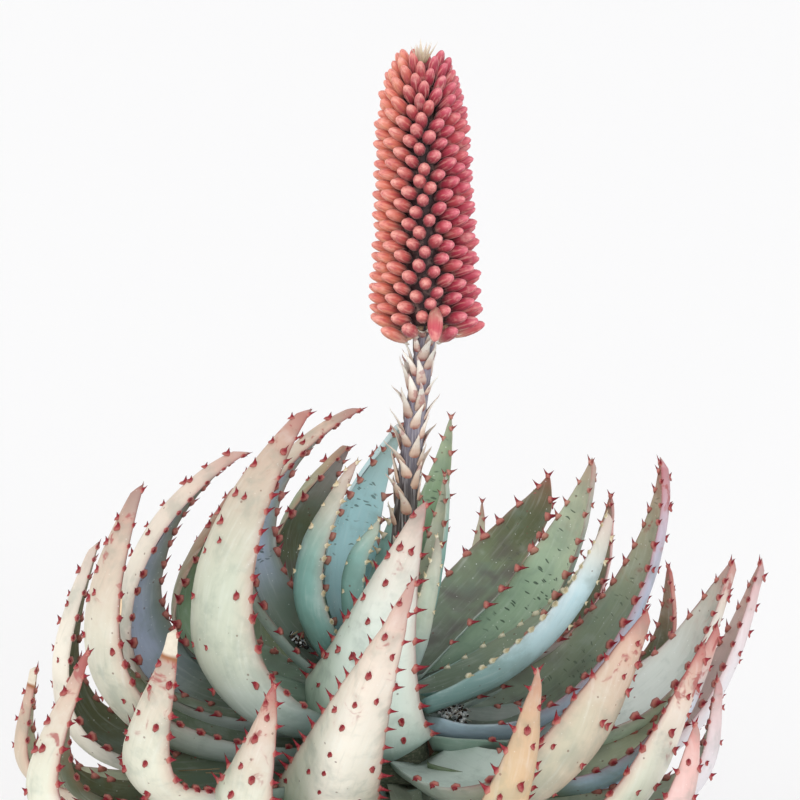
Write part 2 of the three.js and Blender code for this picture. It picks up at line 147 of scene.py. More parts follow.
class StageSettings(bpy.types.PropertyGroup):
    distance: length("Camera distance", "From the camera to what it looks at", 1.4)
    pitch: FloatProperty(
        name="Camera pitch",
        description="How far the camera looks down",
        default=math.radians(14),
        subtype="ANGLE",
    )
    lens: FloatProperty(name="Lens", description="Focal length", default=90, unit="CAMERA", min=10)
    floor: tint("Floor", "Plain pale floor", "F6F6F7")


SETTINGS = {
    "aloe_pot": PotSettings,
    "aloe_soil": SoilSettings,
    "aloe_leaf": LeafSettings,
    "aloe_flower": FlowerSettings,
    "aloe_stage": StageSettings,
}

# Shader expressions


class Number:
    """A shader value. Arithmetic on it adds Math nodes to its finish."""

    def __init__(self, finish, socket):
        self.finish, self.socket = finish, socket

    def math(self, operation, first, second):
        node = self.finish.node("Math", {"operation": operation}, {0: first, 1: second})
        return Number(self.finish, node.outputs[0])

    def __add__(self, other):
        return self.math("ADD", self, other)

    def __sub__(self, other):
        return self.math("SUBTRACT", self, other)

    def __rsub__(self, other):
        return self.math("SUBTRACT", other, self)

    def __mul__(self, other):
        return self.math("MULTIPLY", self, other)

    def __lt__(self, other):
        return self.math("LESS_THAN", self, other)

    def __gt__(self, other):
        return self.math("GREATER_THAN", self, other)

    __radd__, __rmul__ = __add__, __mul__

    def ramp(self, low, high):
        """Eases from 0 at low to 1 at high."""
        values = {"Value": self, "From Min": low, "From Max": high}
        node = self.finish.node("MapRange", {"interpolation_type": "SMOOTHSTEP"}, values)
        return Number(self.finish, node.outputs["Result"])


class Finish:
    """A material, and short ways to add and join its nodes."""

    def __init__(self, name, roughness=0.6, **constants):
        self.material = bpy.data.materials.new(name)
        self.material.use_nodes = True
        self.tree = self.material.node_tree
        self.shader = self.tree.nodes["Principled BSDF"]
        self.shader.inputs["Roughness"].default_value = roughness
        for name, value in constants.items():
            self.shader.inputs[name.replace("_", " ")].default_value = value
        self.place = self.node("TexCoord").outputs["Object"]

    def node(self, kind, settings=None, values=None):
        """A node of a type, with its settings and then the values or links of its sockets."""
        node = self.tree.nodes.new("ShaderNode" + kind)
        for name, value in (settings or {}).items():
            setattr(node, name, value)
        for name, value in (values or {}).items():
            self.feed(node.inputs[name], value)
        return node

    def feed(self, socket, value):
        if isinstance(value, Number):
            value = value.socket
        if isinstance(value, bpy.types.NodeSocket):
            self.tree.links.new(value, socket)
        elif socket.type == "RGBA" and len(value) == 3:
            socket.default_value = (*value, 1)
        else:
            socket.default_value = value

    def read(self, name):
        """The colour of a mesh attribute."""
        return self.node("Attribute", {"attribute_name": name}).outputs["Color"]

    def parts(self, colour):
        """The red, green and blue of a colour as numbers."""
        node = self.node("SeparateColor", {}, {"Color": colour})
        return [Number(self, socket) for socket in node.outputs]

    def vector(self, x, y, z=0.0):
        return self.node("CombineXYZ", {}, {"X": x, "Y": y, "Z": z}).outputs[0]

    def scaled(self, vector, x, y=None, z=None):
        values = {"Vector": vector, "Scale": (x, x if y is None else y, x if z is None else z)}
        return self.node("Mapping", {}, values).outputs[0]

    def noise(self, vector, scale, detail=3.0, rough=0.5, warp=0.0):
        values = {"Vector": vector, "Scale": scale, "Detail": detail, "Roughness": rough, "Distortion": warp}
        return Number(self, self.node("TexNoise", {}, values).outputs["Fac"])

    def cells(self, vector, scale):
        """The distance to the nearest scattered point, and a random number for each point."""
        node = self.node("TexVoronoi", {}, {"Vector": vector, "Scale": scale})
        return Number(self, node.outputs["Distance"]), self.parts(node.outputs["Color"])[0]

    def mix(self, body, *coats):
        """A colour with others laid over it in turn, each (colour, mask) where its mask is strong."""
        for colour, mask in coats:
            node = self.node("Mix", {"data_type": "RGBA"})
            sockets = {socket.identifier: socket for socket in node.inputs}
            for name, value in (("Factor_Float", mask), ("A_Color", body), ("B_Color", colour)):
                self.feed(sockets[name], value)
            body = next(socket for socket in node.outputs if socket.identifier == "Result_Color")
        return body

    def colour(self, value):
        self.feed(self.shader.inputs["Base Color"], value)

    def roughness(self, value):
        self.feed(self.shader.inputs["Roughness"], value)

    def bump(self, height, distance, strength):
        """Raises the surface by a height pattern."""
        values = {"Height": height, "Distance": distance, "Strength": strength}
        self.feed(self.shader.inputs["Normal"], self.node("Bump", {}, values).outputs[0])


# Mesh helpers


def start_mesh():
    """An empty mesh that holds a colour, a place on the skin and the strength of its marks at each corner."""
    mesh = bmesh.new()
    mesh.verts.layers.float_color.new("tone")
    mesh.verts.layers.float_color.new("skin")
    mesh.verts.layers.float_color.new("marks")
    return mesh


def layers(mesh):
    colours = mesh.verts.layers.float_color
    return colours["tone"], colours["skin"], colours["marks"]


def stamp(mesh, template, matrix, material=0):
    """Adds a copy of a template mesh at a place, and gives back its new corners with their places before."""
    known, faces = len(mesh.verts), len(mesh.faces)
    mesh.from_mesh(template)
    mesh.verts.ensure_lookup_table()
    mesh.faces.ensure_lookup_table()
    corners = mesh.verts[known:]
    for face in mesh.faces[faces:]:
        face.material_index = material
    before = [corner.co.copy() for corner in corners]
    bmesh.ops.transform(mesh, matrix=matrix, verts=corners)
    return list(zip(corners, before))


def kept(mesh, name):
    """A bmesh as a mesh that can be stamped."""
    data = bpy.data.meshes.new(name)
    mesh.to_mesh(data)
    mesh.free()
    return data


def shape(name, operator, **sizes):
    """A template made by one bmesh operator."""
    mesh = bmesh.new()
    operator(mesh, **sizes)
    return kept(mesh, name)


def settled(mesh):
    """The same mesh with no gaps in its lists, so that what is stamped next always comes last."""
    data = kept(mesh, "settled")
    fresh = bmesh.new()
    fresh.from_mesh(data)
    bpy.data.meshes.remove(data)
    return fresh


def finish_piece(mesh, name, finishes, replaced=()):
    """Turns a bmesh into a smooth piece that rides on the body."""
    for face in mesh.faces:
        face.smooth = True
    data = bpy.data.meshes.new(name)
    mesh.to_mesh(data)
    mesh.free()
    for finish in finishes:
        data.materials.append(finish.material)
    piece = bpy.data.objects.new(name, data)
    bpy.context.scene.collection.objects.link(piece)
    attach(piece, "root")
    if replaced:
        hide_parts(*replaced)
    return piece


def turned(outline, steps):
    """A closed outline of (radius, height) turned about the Z axis, with its faces outwards."""
    mesh = start_mesh()
    corners = [mesh.verts.new((radius, 0, height)) for radius, height in outline]
    edges = [mesh.edges.new(pair) for pair in zip(corners, corners[1:])]
    geom, angle = corners + edges, 2 * math.pi
    bmesh.ops.spin(mesh, geom=geom, cent=(0, 0, 0), axis=UP, angle=angle, steps=steps, use_merge=True)
    bmesh.ops.remove_doubles(mesh, verts=mesh.verts, dist=1e-6)
    bmesh.ops.recalc_face_normals(mesh, faces=mesh.faces)
    return settled(mesh)


def wrapped(mesh, around, along, place):
    """Wraps a grid round a long body. place(corner, turn, share) paints a corner and gives its place, with
    turn and share from 0 to 1. The seam and both ends are merged, so the ends have to close on a point."""
    grid = bmesh.ops.create_grid(mesh, x_segments=around, y_segments=along, size=0.5)["verts"]
    for corner in grid:
        corner.co = place(corner, corner.co.x + 0.5, corner.co.y + 0.5)
    bmesh.ops.remove_doubles(mesh, verts=mesh.verts, dist=1e-6)
    bmesh.ops.recalc_face_normals(mesh, faces=mesh.faces)
    return settled(mesh)


def facing(origin, aim, side):
    """A matrix whose Z runs along aim and whose X lies near side."""
    aim = aim.normalized()
    other = aim.cross(side).normalized()
    across = other.cross(aim)
    matrix = Matrix((across, other, aim)).transposed().to_4x4()
    matrix.translation = origin
    return matrix


def put(mesh, template, origin, aim, side, sizes, material=0):
    """Stamps a template with its Z along aim and its X near side, scaled by three sizes."""
    return stamp(mesh, template, facing(origin, aim, side) @ Matrix.Diagonal((*sizes, 1)), material)


# Leaves

# A leaf: the direction and height of its root, the middle, end and last angle of its midrib, its width, the
# colours of its lower and upper face, how late it narrows, how strong its blush, dashes, stains and pale
# thorns are, half the width of a blunt end, and how much painted shade darkens it near the root.
Leaf = namedtuple(
    "Leaf",
    "toward height belly tip finish width under upper taper blush dashes blotch cream stub deep",
    defaults=(1.9, 0.6, 0, 0, 0, 0, 0.34),
)

# Colours of the two faces of a leaf
SHADES = {
    "ivory": "D8D8C6",
    "cream": "EFEBDD",
    "pale_sage": "C4CAB8",
    "mint": "EAF6EC",
    "sage": "C3C9AF",
    "tan": "CBBBA6",
    "peach": "DBBB94",
    "rose": "DABFBB",
    "pearl": "DCD8DC",
    "mist": "DCE2DA",
    "lilac": "B8C4DC",
    "ash": "98A48C",
    "teal": "89B3AC",
    "aqua": "B4DEE4",
    "sky": "CBE9F1",
    "azure": "C4E6FF",
    "green": "A6BFA4",
    "fern": "84A07E",
    "moss": "7A8868",
    "olive": "5A6044",
    "russet": "8F5A50",
}
SHADES = {name: paint(code) for name, code in SHADES.items()}

# From the innermost to the outermost. Directions are in degrees, places in millimetres from the middle of the
# stem's foot.
LEAVES = [
    Leaf(210, 86, (-23, -6, 176), (-7, -3, 204), 92, 25, "teal", "green", cream=1, blush=0.2),
    Leaf(330, 88, (28, -20, 149), (34, -9, 194), 92, 26, "pale_sage", "sage", cream=1, blush=0.3),
    Leaf(34, 86, (35, 15, 175), (40, 20, 232), 92, 28, "teal", "sage", dashes=0.6, cream=0.1, blush=0.2),
    Leaf(200, 78, (-58, -15, 174), (-21, -14, 251), 122, 46, "teal", "green", 1.9, 0.5, 0.3, cream=0.9),
    Leaf(85, 86, (4, 40, 159), (12, 50, 219), 92, 38, "teal", "teal", dashes=0.5, cream=0.8, blush=0.2),
    Leaf(237, 41, (-16, -79, 124), (27, -54, 233), 143, 130, "mint", "teal", blush=0.7, deep=0.6, taper=1.1),
    Leaf(128, 80, (-26, 50, 190), (10, 46, 262), 126, 59, "aqua", "aqua", 1.7, 0.2, dashes=0.8, cream=0.1),
    Leaf(66, 84, (30, 55, 185), (46, 75, 261), 78, 34, "sage", "fern", dashes=0.8, cream=0.1, blush=0.2),
    Leaf(138, 69, (-71, 79, 167), (-29, 71, 237), 137, 72, "moss", "olive", blotch=0.7, blush=0.5),
    Leaf(62, 75, (103, 112, 157), (123, 130, 199), 69, 53, "sage", "moss", 1.8, 0.6, dashes=0.4, blotch=0.9),
    Leaf(206, 53, (-122, -65, 162), (-53, -5, 285), 142, 104, "pale_sage", "green", blush=0.8),
    Leaf(160, 64, (-95, 18, 199), (-18, 19, 279), 154, 55, "ivory", "lilac", dashes=0.9, blush=0.9),
    Leaf(30, 65, (112, 64, 118), (151, 76, 227), 83, 75, "teal", "green", 2.3, 0.5, 1, cream=0.1, stub=1.6),
    Leaf(242, 20, (-41, -106, 40), (19, -152, 213), 145, 106, "cream", "teal", blush=0.7, taper=1.4),
    Leaf(344, 65, (125, 14, 124), (157, 16, 203), 84, 66, "sky", "ash", cream=1, blush=0.3, taper=2.6),
    Leaf(148, 54, (-155, 86, 108), (-111, 73, 207), 121, 66, "olive", "fern", blotch=0.4, blush=0.5),
    Leaf(36, 64, (150, 98, 106), (171, 122, 186), 84, 44, "rose", "olive", blush=0.8),
    Leaf(66, 66, (64, 138, 108), (74, 176, 165), 88, 22, "rose", "sage", blush=0.8),
    Leaf(165, 45, (-188, 22, 124), (-98, 0, 252), 156, 84, "cream", "lilac", blush=0.6, dashes=0.3),
    Leaf(100, 58, (-20, 130, 92), (-24, 150, 160), 88, 62, "sage", "moss"),
    Leaf(232, 12, (-98, -150, 52), (-73, -150, 140), 104, 66, "ivory", "green", blush=1),
    Leaf(14, 51, (155, 39, 86), (198, 50, 235), 100, 91, "lilac", "ash", 1.8, 0.8, 0.6, blotch=0.6, deep=0.2),
    Leaf(320, 24, (126, -112, 74), (174, -90, 168), 68, 94, "tan", "mint", blush=0.9, stub=1.5, deep=0.1),
    Leaf(299, 11, (70, -164, 38), (96, -158, 154), 86, 60, "peach", "sage", blush=0.5, stub=1.5),
    Leaf(125, 46, (-95, 130, 70), (-84, 150, 145), 98, 62, "sage", "moss"),
    Leaf(199, 34, (-197, -58, 112), (-165, -61, 247), 119, 82, "ivory", "moss", 2.3, blush=0.8, stub=2.2),
    Leaf(10, 37, (198, -3, 73), (248, 10, 170), 69, 80, "mint", "mist", 2.3, blush=0.8, stub=2, deep=0.5),
    Leaf(214, 19, (-167, -106, 60), (-139, -122, 166), 102, 82, "ivory", "moss", blush=0.9, stub=3.8),
    Leaf(46, 44, (140, 142, 62), (170, 172, 120), 84, 60, "sage", "moss", blotch=0.3),
    Leaf(272, 6, (4, -180, 14), (6, -196, 66), 92, 66, "mint", "sage"),
    Leaf(342, 23, (182, -52, 50), (228, -52, 144), 70, 71, "azure", "sage", blush=0.9, blotch=0.5, deep=0),
    Leaf(330, 13, (166, -97, 34), (214, -84, 143), 70, 76, "cream", "sage", blush=1),
    Leaf(88, 36, (12, 180, 50), (14, 200, 116), 92, 62, "sage", "moss"),
    Leaf(178, 22, (-233, 8, 56), (-209, 16, 181), 112, 72, "cream", "olive", blush=0.25, deep=0.6),
    Leaf(145, 30, (-150, 116, 38), (-160, 128, 92), 94, 62, "sage", "moss"),
    Leaf(28, 34, (208, 120, 44), (218, 130, 126), 92, 40, "russet", "olive", blush=0.9),
    Leaf(194, 4, (-216, -54, 20), (-223, -55, 80), 98, 46, "olive", "olive", blush=0.25),
    Leaf(2, 18, (220, 18, 40), (271, 24, 166), 76, 70, "pearl", "rose", blush=0.6),
    Leaf(216, 6, (-235, -110, 38), (-201, -92, 141), 113, 54, "ivory", "moss", blush=1),
    Leaf(300, -2, (88, -192, 4), (90, -208, 56), 90, 62, "mint", "sage", blush=0.5),
    Leaf(115, 20, (-88, 180, 36), (-96, 196, 84), 90, 60, "sage", "moss"),
    Leaf(349, 4, (212, -44, 16), (230, -50, 104), 84, 52, "pearl", "sage", blush=0.6),
    Leaf(180, 2, (-258, -8, 14), (-254, -10, 95), 94, 50, "tan", "sage", blush=0.9, stub=3.4),
    Leaf(318, -4, (180, -132, 26), (202, -136, 107), 84, 54, "rose", "green", blush=0.6),
]
# In millimetres: the stem's radius at the foot and at the crown, and the height between them
STEM_RADIUS, CROWN_RADIUS, CROWN_HEIGHT = 33, 15, 94
# How deep a leaf is cupped, the steps its length is measured in, and where the blunt end of a stub begins
CUP, STEPS, STUB_FROM = 0.4, 40, 0.86


def stem_radius(height):
    """The stem's radius at a height above its foot, in millimetres."""
    return STEM_RADIUS + (CROWN_RADIUS - STEM_RADIUS) * max(0.0, height / CROWN_HEIGHT) ** 1.3


class Blade:
    """The form of one leaf, in metres."""

    def __init__(self, leaf, foot):
        self.leaf = leaf
        out = outward(leaf.toward)
        base = out * (stem_radius(leaf.height) - 1) * MM + UP * (foot + leaf.height * MM)
        belly, tip = (Vector(place) * MM + UP * foot for place in (leaf.belly, leaf.tip))
        angle = math.radians(leaf.finish)
        finish = out * math.cos(angle) + UP * math.sin(angle)
        late = tip - finish * (0.66 * (belly - tip).length)
        early = (belly * 8 - base - tip) / 3 - late
        self.ends = (base, early, late, tip)
        self.sideways = UP.cross(out)
        steps = [self.centre(k / STEPS) for k in range(STEPS + 1)]
        self.reach = [0.0]
        for a, b in zip(steps, steps[1:]):
            self.reach.append(self.reach[-1] + (b - a).length)

    def centre(self, share):
        base, early, late, tip = self.ends
        back = 1 - share
        return back**3 * base + 3 * back**2 * share * early + 3 * back * share**2 * late + share**3 * tip

    def frame(self, share):
        base, early, late, tip = self.ends
        back = 1 - share
        along = back**2 * (early - base) + 2 * back * share * (late - early) + share**2 * (tip - late)
        along.normalize()
        across = (self.sideways - along * along.dot(self.sideways)).normalized()
        return along, across, along.cross(across)

    def distance(self, share):
        """How far along the midrib a share lies."""
        k = min(STEPS - 1, int(share * STEPS))
        return self.reach[k] + (self.reach[k + 1] - self.reach[k]) * (share * STEPS - k)

    def share_at(self, distance):
        for k, (near, far) in enumerate(zip(self.reach, self.reach[1:])):
            if far >= distance:
                return (k + (distance - near) / (far - near)) / STEPS
        return 1.0

    def half(self, share):
        leaf = self.leaf
        half = 0.5 * leaf.width * (1 - share**leaf.taper) * (0.62 + 0.38 * min(1, share / 0.24)) * MM
        if leaf.stub and share > STUB_FROM:
            late = (share - STUB_FROM) / (1 - STUB_FROM)
            half = max(half, leaf.stub * MM * math.sqrt(max(0.0, 1 - late**6)))
        return half

    def thickness(self, share):
        leaf = self.leaf
        depth = (5 + 0.11 * leaf.width) * (1 - 0.7 * share) * (0.7 + 0.3 * min(1, share / 0.2)) * MM
        return min(depth, 1.7 * self.half(share))

    def skin(self, share, turn):
        """A point of the skin: turn runs once round the section, from a margin over the upper face."""
        across, rise = math.cos(2 * math.pi * turn), math.sin(2 * math.pi * turn)
        half, depth = self.half(share), self.thickness(share)
        side, face = self.frame(share)[1:]
        lip = min(0.0009, 0.3 * half) * abs(rise) ** 0.6
        height = CUP * half * across * across
        height += 0.5 * lip if rise >= 0 else -(depth * abs(rise) ** 1.35 + lip)
        return self.centre(share) + side * (half * across) + face * height

    def outside(self, share, turn):
        """The way out of the skin, found from points close by."""
        step = 0.004
        a = self.skin(min(1, share + step), turn) - self.skin(max(0, share - step), turn)
        b = self.skin(share, turn + step) - self.skin(share, turn - step)
        return b.cross(a).normalized()


def leaf_tone(leaf, blush, share, across, under, chance):
    """The painted colour of a leaf at a place on its skin."""
    if leaf.blotch > 0.75:
        upper = mixed(SHADES[leaf.upper], SHADES["olive"], smooth(0.22, 0.52, share))
    else:
        late, strength = (SHADES["pearl"], 0.5) if leaf.blotch > 0.65 else (SHADES["sage"], 0.3)
        upper = mixed(SHADES[leaf.upper], late, strength * smooth(0.5, 0.95, share))
    if leaf.upper == "lilac":
        shaded = max(1 - smooth(0.18, 0.42, share), 0.8 * smooth(0.3, 1.0, -across))
        upper = mixed(upper, SHADES["moss"], 0.95 * shaded)
    tone = mixed(upper, SHADES[leaf.under], under)
    bluish = leaf.under in ("sky", "aqua", "teal", "mint")
    cool = SHADES["teal"] if bluish else mixed(SHADES["sky"], SHADES[leaf.under], 0.3)
    cool = SHADES["azure"] if leaf.under == "azure" else cool
    tone = mixed(tone, cool, 0.75 * (1 - smooth(0.1, 0.42, share)) * (0.2 + 0.8 * under))
    # Painted shade: the leaf is darkened towards its root, where it sits deep in the rosette.
    tone = tuple(c * (1 - leaf.deep * (1 - smooth(0.05, 0.42, share))) for c in tone)
    if leaf.under == "azure":
        tone = mixed(SHADES["moss"], tone, smooth(0.22, 0.34, share))
    if leaf.under == "teal":
        tone = mixed(tone, SHADES["sage"], 0.45 * under * smooth(0.45, 0.9, share))
    if leaf.under in ("sky", "azure"):
        tone = mixed(tone, SHADES["ivory"], 0.8 * under * smooth(0.6, 0.9, share))
    if leaf.under in ("ivory", "tan", "peach", "pale_sage", "mint", "cream"):
        blush = mixed(blush, SHADES["tan"], 0.5)
        tone = tuple(c * (1 - 0.2 * smooth(0.5, 0.95, share)) for c in tone)
        shaded = under * smooth(0.1, 0.9, -across) * (1 - smooth(0.5, 0.9, share))
        tone = mixed(tone, SHADES["green"], 0.3 * shaded)
    flush = leaf.blush * 0.8 * smooth(0.55, 0.98, share + 0.05 * chance)
    flush = max(flush, 0.45 * leaf.blush * smooth(0.74, 1.0, abs(across)) * smooth(0.15, 0.6, share))
    tone = mixed(tone, blush, flush * (0.5 + 0.5 * under))
    edge = leaf.blush * smooth(0.96, 1.0, abs(across)) * smooth(0.1, 0.3, share)
    tone = mixed(tone, paint("7E2A30"), 0.9 * edge)
    return mixed(tone, paint("98303A"), 0.75 * leaf.blush * smooth(0.84, 1.0, share))


def thorn_template(name, sides, profile):
    """A thorn along +Z with its root at the origin, from (radius, height) rings that end in a point."""
    mesh = start_mesh()
    radius, low = profile[0]
    ring = bmesh.ops.create_circle(mesh, cap_ends=True, segments=sides, radius=radius)["verts"]
    bmesh.ops.translate(mesh, verts=ring, vec=(0, 0, low))
    cap = mesh.faces[:]
    bmesh.ops.reverse_faces(mesh, faces=cap)
    for (radius_before, height_before), (radius, height) in zip(profile, profile[1:]):
        edges = [edge for edge in mesh.edges if all(abs(v.co.z - height_before) < 1e-4 for v in edge.verts)]
        new = bmesh.ops.extrude_edge_only(mesh, edges=edges)["geom"]
        corners = [item for item in new if isinstance(item, bmesh.types.BMVert)]
        grow = max(radius, 1e-4) / radius_before
        bmesh.ops.scale(mesh, vec=(grow, grow, 1), verts=corners)
        bmesh.ops.translate(mesh, vec=(0, 0, height - height_before), verts=corners)
    bmesh.ops.remove_doubles(mesh, verts=mesh.verts, dist=2e-4)
    bmesh.ops.recalc_face_normals(mesh, faces=mesh.faces)
    return kept(mesh, name)


# Rings of a thorn of length 1: on a margin it runs straight out, and on a face it stands on a wart.
MARGIN_THORN = [(0.3, -0.25), (0.25, 0.0), (0.13, 0.22), (0.07, 0.55), (0.0, 1.0)]
FACE_THORN = [(0.52, -0.2), (0.42, 0.05), (0.2, 0.2), (0.11, 0.45), (0.0, 0.95)]


def add_thorn(mesh, template, origin, aim, side, size, root, red, stretch):
    """Stamps a thorn, bent a little towards side, and paints it from its root to its hard tip."""
    tone, skin, marks = layers(mesh)
    settings = bpy.context.scene.aloe_leaf
    for corner, before in put(mesh, template, origin, aim, side, (size * stretch, size, size), 1):
        height = max(0.0, before.z)
        corner.co += side * (0.18 * size * height * height)
        colour = mixed(root, red, smooth(-0.08, 0.2, height))
        corner[tone] = (*mixed(colour, settings.thorn_tip, 0.85 * smooth(0.5, 1.0, height)), 1)
        corner[skin] = (0, 0, 0, height)
        corner[marks] = (0, 0, 0, 0)


def leaf_mesh(index, leaf, settings, templates):
    """One leaf with its thorns."""
    chance = random.Random(100 + index)
    blade = Blade(leaf, settings.foot)
    mesh = start_mesh()
    tone, skin, marks = layers(mesh)
    blush = tuple(settings.blush)
    luck = chance.uniform(-1, 1)
    value = 1 + 0.05 * chance.uniform(-1, 1)
    wave = chance.uniform(0, 50)

    def place(corner, turn, row):
        share = within(row, 0.02, 0.98)
        across, rise = math.cos(2 * math.pi * turn), math.sin(2 * math.pi * turn)
        under = 1 - smooth(-0.2, 0.2, rise)
        half = blade.half(share)
        far = blade.distance(share)
        colour = leaf_tone(leaf, blush, share, across, under, luck)
        corner[tone] = (*(min(1, c * value) for c in colour), 1)
        corner[skin] = (across * half * 10, far * 10, under, share)
        middle = 1 - smooth(0.6, 0.95, abs(across))
        region = smooth(0.25, 0.4, share) * (1 - smooth(0.86, 0.95, share))
        corner[marks] = (
            leaf.dashes * middle * region * (1 - 0.8 * under),
            leaf.blotch * (1 - smooth(0.3, 0.62, share)) * (1 - under),
            smooth(0.9, 0.945, share) * (1 if leaf.stub >= 3 else 0),
            leaf.blush * (0.15 + 0.85 * smooth(0.4, 0.9, share)) * smooth(0.1, 0.3, share),
        )
        if row < 0.02:
            return blade.centre(0)
        if share >= 1:
            return blade.centre(1)
        point = blade.skin(share, turn)
        side, face = blade.frame(share)[1:]
        drift = Vector((far * 30 + wave, turn * 2.2, wave))
        swell = 0.0012 * noise.noise(drift) * min(1, half / 0.02)
        return point + face * swell + side * (0.0007 * noise.noise(Vector((far * 90, wave, 0))))

    mesh = wrapped(mesh, settings.across, settings.along, place)
    red = mixed(tuple(settings.thorn_red), paint("CFC39C"), 0.9 * leaf.cream)
    pale = mixed(mixed(blush, red, 0.25), tuple(settings.thorn_cream), leaf.cream)
    total = blade.reach[-1]
    build = min(1, 0.5 + leaf.width / 110) * (1 - 0.15 * leaf.cream)
    spacing = settings.spacing * (1.25 if leaf.cream < 0.5 else 0.9) * (0.7 + 0.3 * build)

    def margin_thorn(share, hand, size, lift=0.45):
        along, side, face = blade.frame(share)
        out = side * hand
        aim = out + along * (lift + chance.uniform(-0.12, 0.12)) + face * chance.uniform(-0.1, 0.25)
        turn = 0.0 if hand > 0 else 0.5
        origin = blade.skin(share, turn) - out * (0.05 * size)
        add_thorn(mesh, templates[0], origin, aim, along, size, pale, red, 1.5)

    for hand in (1, -1):
        far = total * 0.14 + chance.uniform(0, spacing)
        while far < total * 0.965:
            share = blade.share_at(far)
            grown = 0.62 + 0.38 * math.sin(math.pi * min(1, share * 1.1))
            margin_thorn(share, hand, settings.thorn * build * grown * chance.uniform(0.8, 1.1))
            far += spacing * chance.uniform(0.72, 1.25) * (1.15 - 0.35 * share)
        margin_thorn(0.985, hand, settings.thorn * 0.62 * build, 0.9)

    places = []
    outer = leaf.cream < 0.5 and leaf.under not in ("sky", "azure")
    far = total * (0.34 if outer else 0.5) + chance.uniform(0, 0.02)
    while far < total * 0.97:
        share = blade.share_at(far)
        places.append((share, 0.08 * math.sin(9 * share + luck) + chance.uniform(-0.05, 0.05)))
        far += spacing * chance.uniform(1.05, 1.5) * (1.35 - 0.5 * share)
    extra = int(leaf.width / 9) if outer and leaf.width > 50 else 0
    for k in range(extra):
        share = 0.28 + 0.62 * (k + chance.random()) / extra
        places.append((share, (-1) ** k * chance.uniform(0.2, 0.72)))
    for share, offset in places:
        turn = 0.75 + offset * 0.25
        along = blade.frame(share)[0]
        out = blade.outside(share, turn)
        size = settings.thorn * build * chance.uniform(0.3, 0.52) * (1 + 0.1 * smooth(0.6, 0.95, share))
        aim = out + along * chance.uniform(0.7, 1.2)
        wart = mixed(pale, red, 0.3)
        add_thorn(mesh, templates[1], blade.skin(share, turn), aim, along, size, wart, red, 1.8)
    return mesh


def leaf_finish():
    """Waxy skin: painted colour with streaks, dashes, stains, rust, specks, scratches and dry scars."""
    settings = bpy.context.scene.aloe_leaf
    finish = Finish("leaf_skin", 0.5, Specular_IOR_Level=0.3)
    tone = finish.read("tone")
    x, y, under = finish.parts(finish.read("skin"))
    marks = finish.node("Attribute", {"attribute_name": "marks"})
    dash, stain, dry = finish.parts(marks.outputs["Color"])
    rust = Number(finish, marks.outputs["Alpha"])
    flat = finish.vector(x, y)
    streaks = finish.noise(finish.scaled(flat, 40, 3.0), 1.0)
    clouds = finish.noise(finish.place, 34.0, 4.0, 0.6, 0.2)
    fine = finish.noise(finish.place, 300.0, 3.0, 0.6)
    slanted = finish.vector(x + y * 0.35, y + finish.noise(flat, 9.0, 1.0) * 0.08)
    distance, luck = finish.cells(finish.scaled(slanted, 11, 38), 1.0)
    clumps = finish.noise(flat, 5.0, 2.0)
    chosen = (luck < 0.5) * (0.33 - distance).ramp(0.0, 0.12) * (clumps + dash * 0.3 - 0.58).ramp(0.0, 0.12)
    soft = finish.noise(flat, 3.4, 2.0, 0.5, 0.4)
    patch = finish.noise(finish.place, 75.0, 3.0, 0.6, 0.5)
    rusty = (patch + rust * 0.24 - 0.78).ramp(0.0, 0.1) * rust.ramp(0.35, 0.8)
    speck, speck_luck = finish.cells(finish.place, 330.0)
    freckle, freckle_luck = finish.cells(finish.place, 150.0)
    crust = finish.mix((0.3, 0.1, 0.03), ((0.78, 0.72, 0.6), dry.ramp(0.3, 0.75)))
    body = finish.mix(
        tone,
        ((0.9, 0.95, 0.93), (streaks - 0.5).ramp(0.0, 0.3) * 0.16),
        (finish.mix(tone, ((0.12, 0.2, 0.15), 0.6)), (0.5 - streaks).ramp(0.05, 0.3) * 0.25),
        (finish.mix(tone, ((0.16, 0.24, 0.2), 0.7)), (0.52 - clouds).ramp(0.0, 0.2) * 0.45),
        ((0.82, 0.9, 0.88), (clouds - 0.52).ramp(0.0, 0.22) * 0.16 * (1 - dry)),
        (tuple(settings.dash), chosen * dash * 0.75),
        (tuple(settings.blotch), (soft - 0.38).ramp(0.0, 0.3) * stain * 0.75),
        ((0.3, 0.05, 0.06), rusty * 0.8),
        ((0.52, 0.2, 0.15), (patch + rust * 0.2 - 0.62).ramp(0.0, 0.4) * rust * 0.4),
        ((0.9, 0.93, 0.9), (speck < 0.15) * (speck_luck > 0.8) * (1 - under * 0.6) * 0.5),
        ((0.16, 0.07, 0.05), (0.16 - freckle).ramp(0.0, 0.06) * (freckle_luck > 0.8) * 0.6),
        (finish.mix(crust, ((0.3, 0.2, 0.13), fine * 0.4)), dry.ramp(0.0, 0.3)),
    )
    finish.colour(body)
    finish.roughness(0.4 + clouds * 0.24 + dry * 0.3)
    finish.bump(streaks * 0.4 + fine * 0.3 + clouds * 0.6 - chosen * dash * 0.7, 0.0007, 0.7)
    return finish


def thorn_finish():
    finish = Finish("thorn", 0.45, Specular_IOR_Level=0.25)
    grain = finish.noise(finish.place, 420.0, 2.0)
    finish.colour(finish.mix(finish.read("tone"), ((0.8, 0.5, 0.42), (grain - 0.5).ramp(0.0, 0.3) * 0.15)))
    finish.bump(grain, 0.0002, 0.5)
    return finish


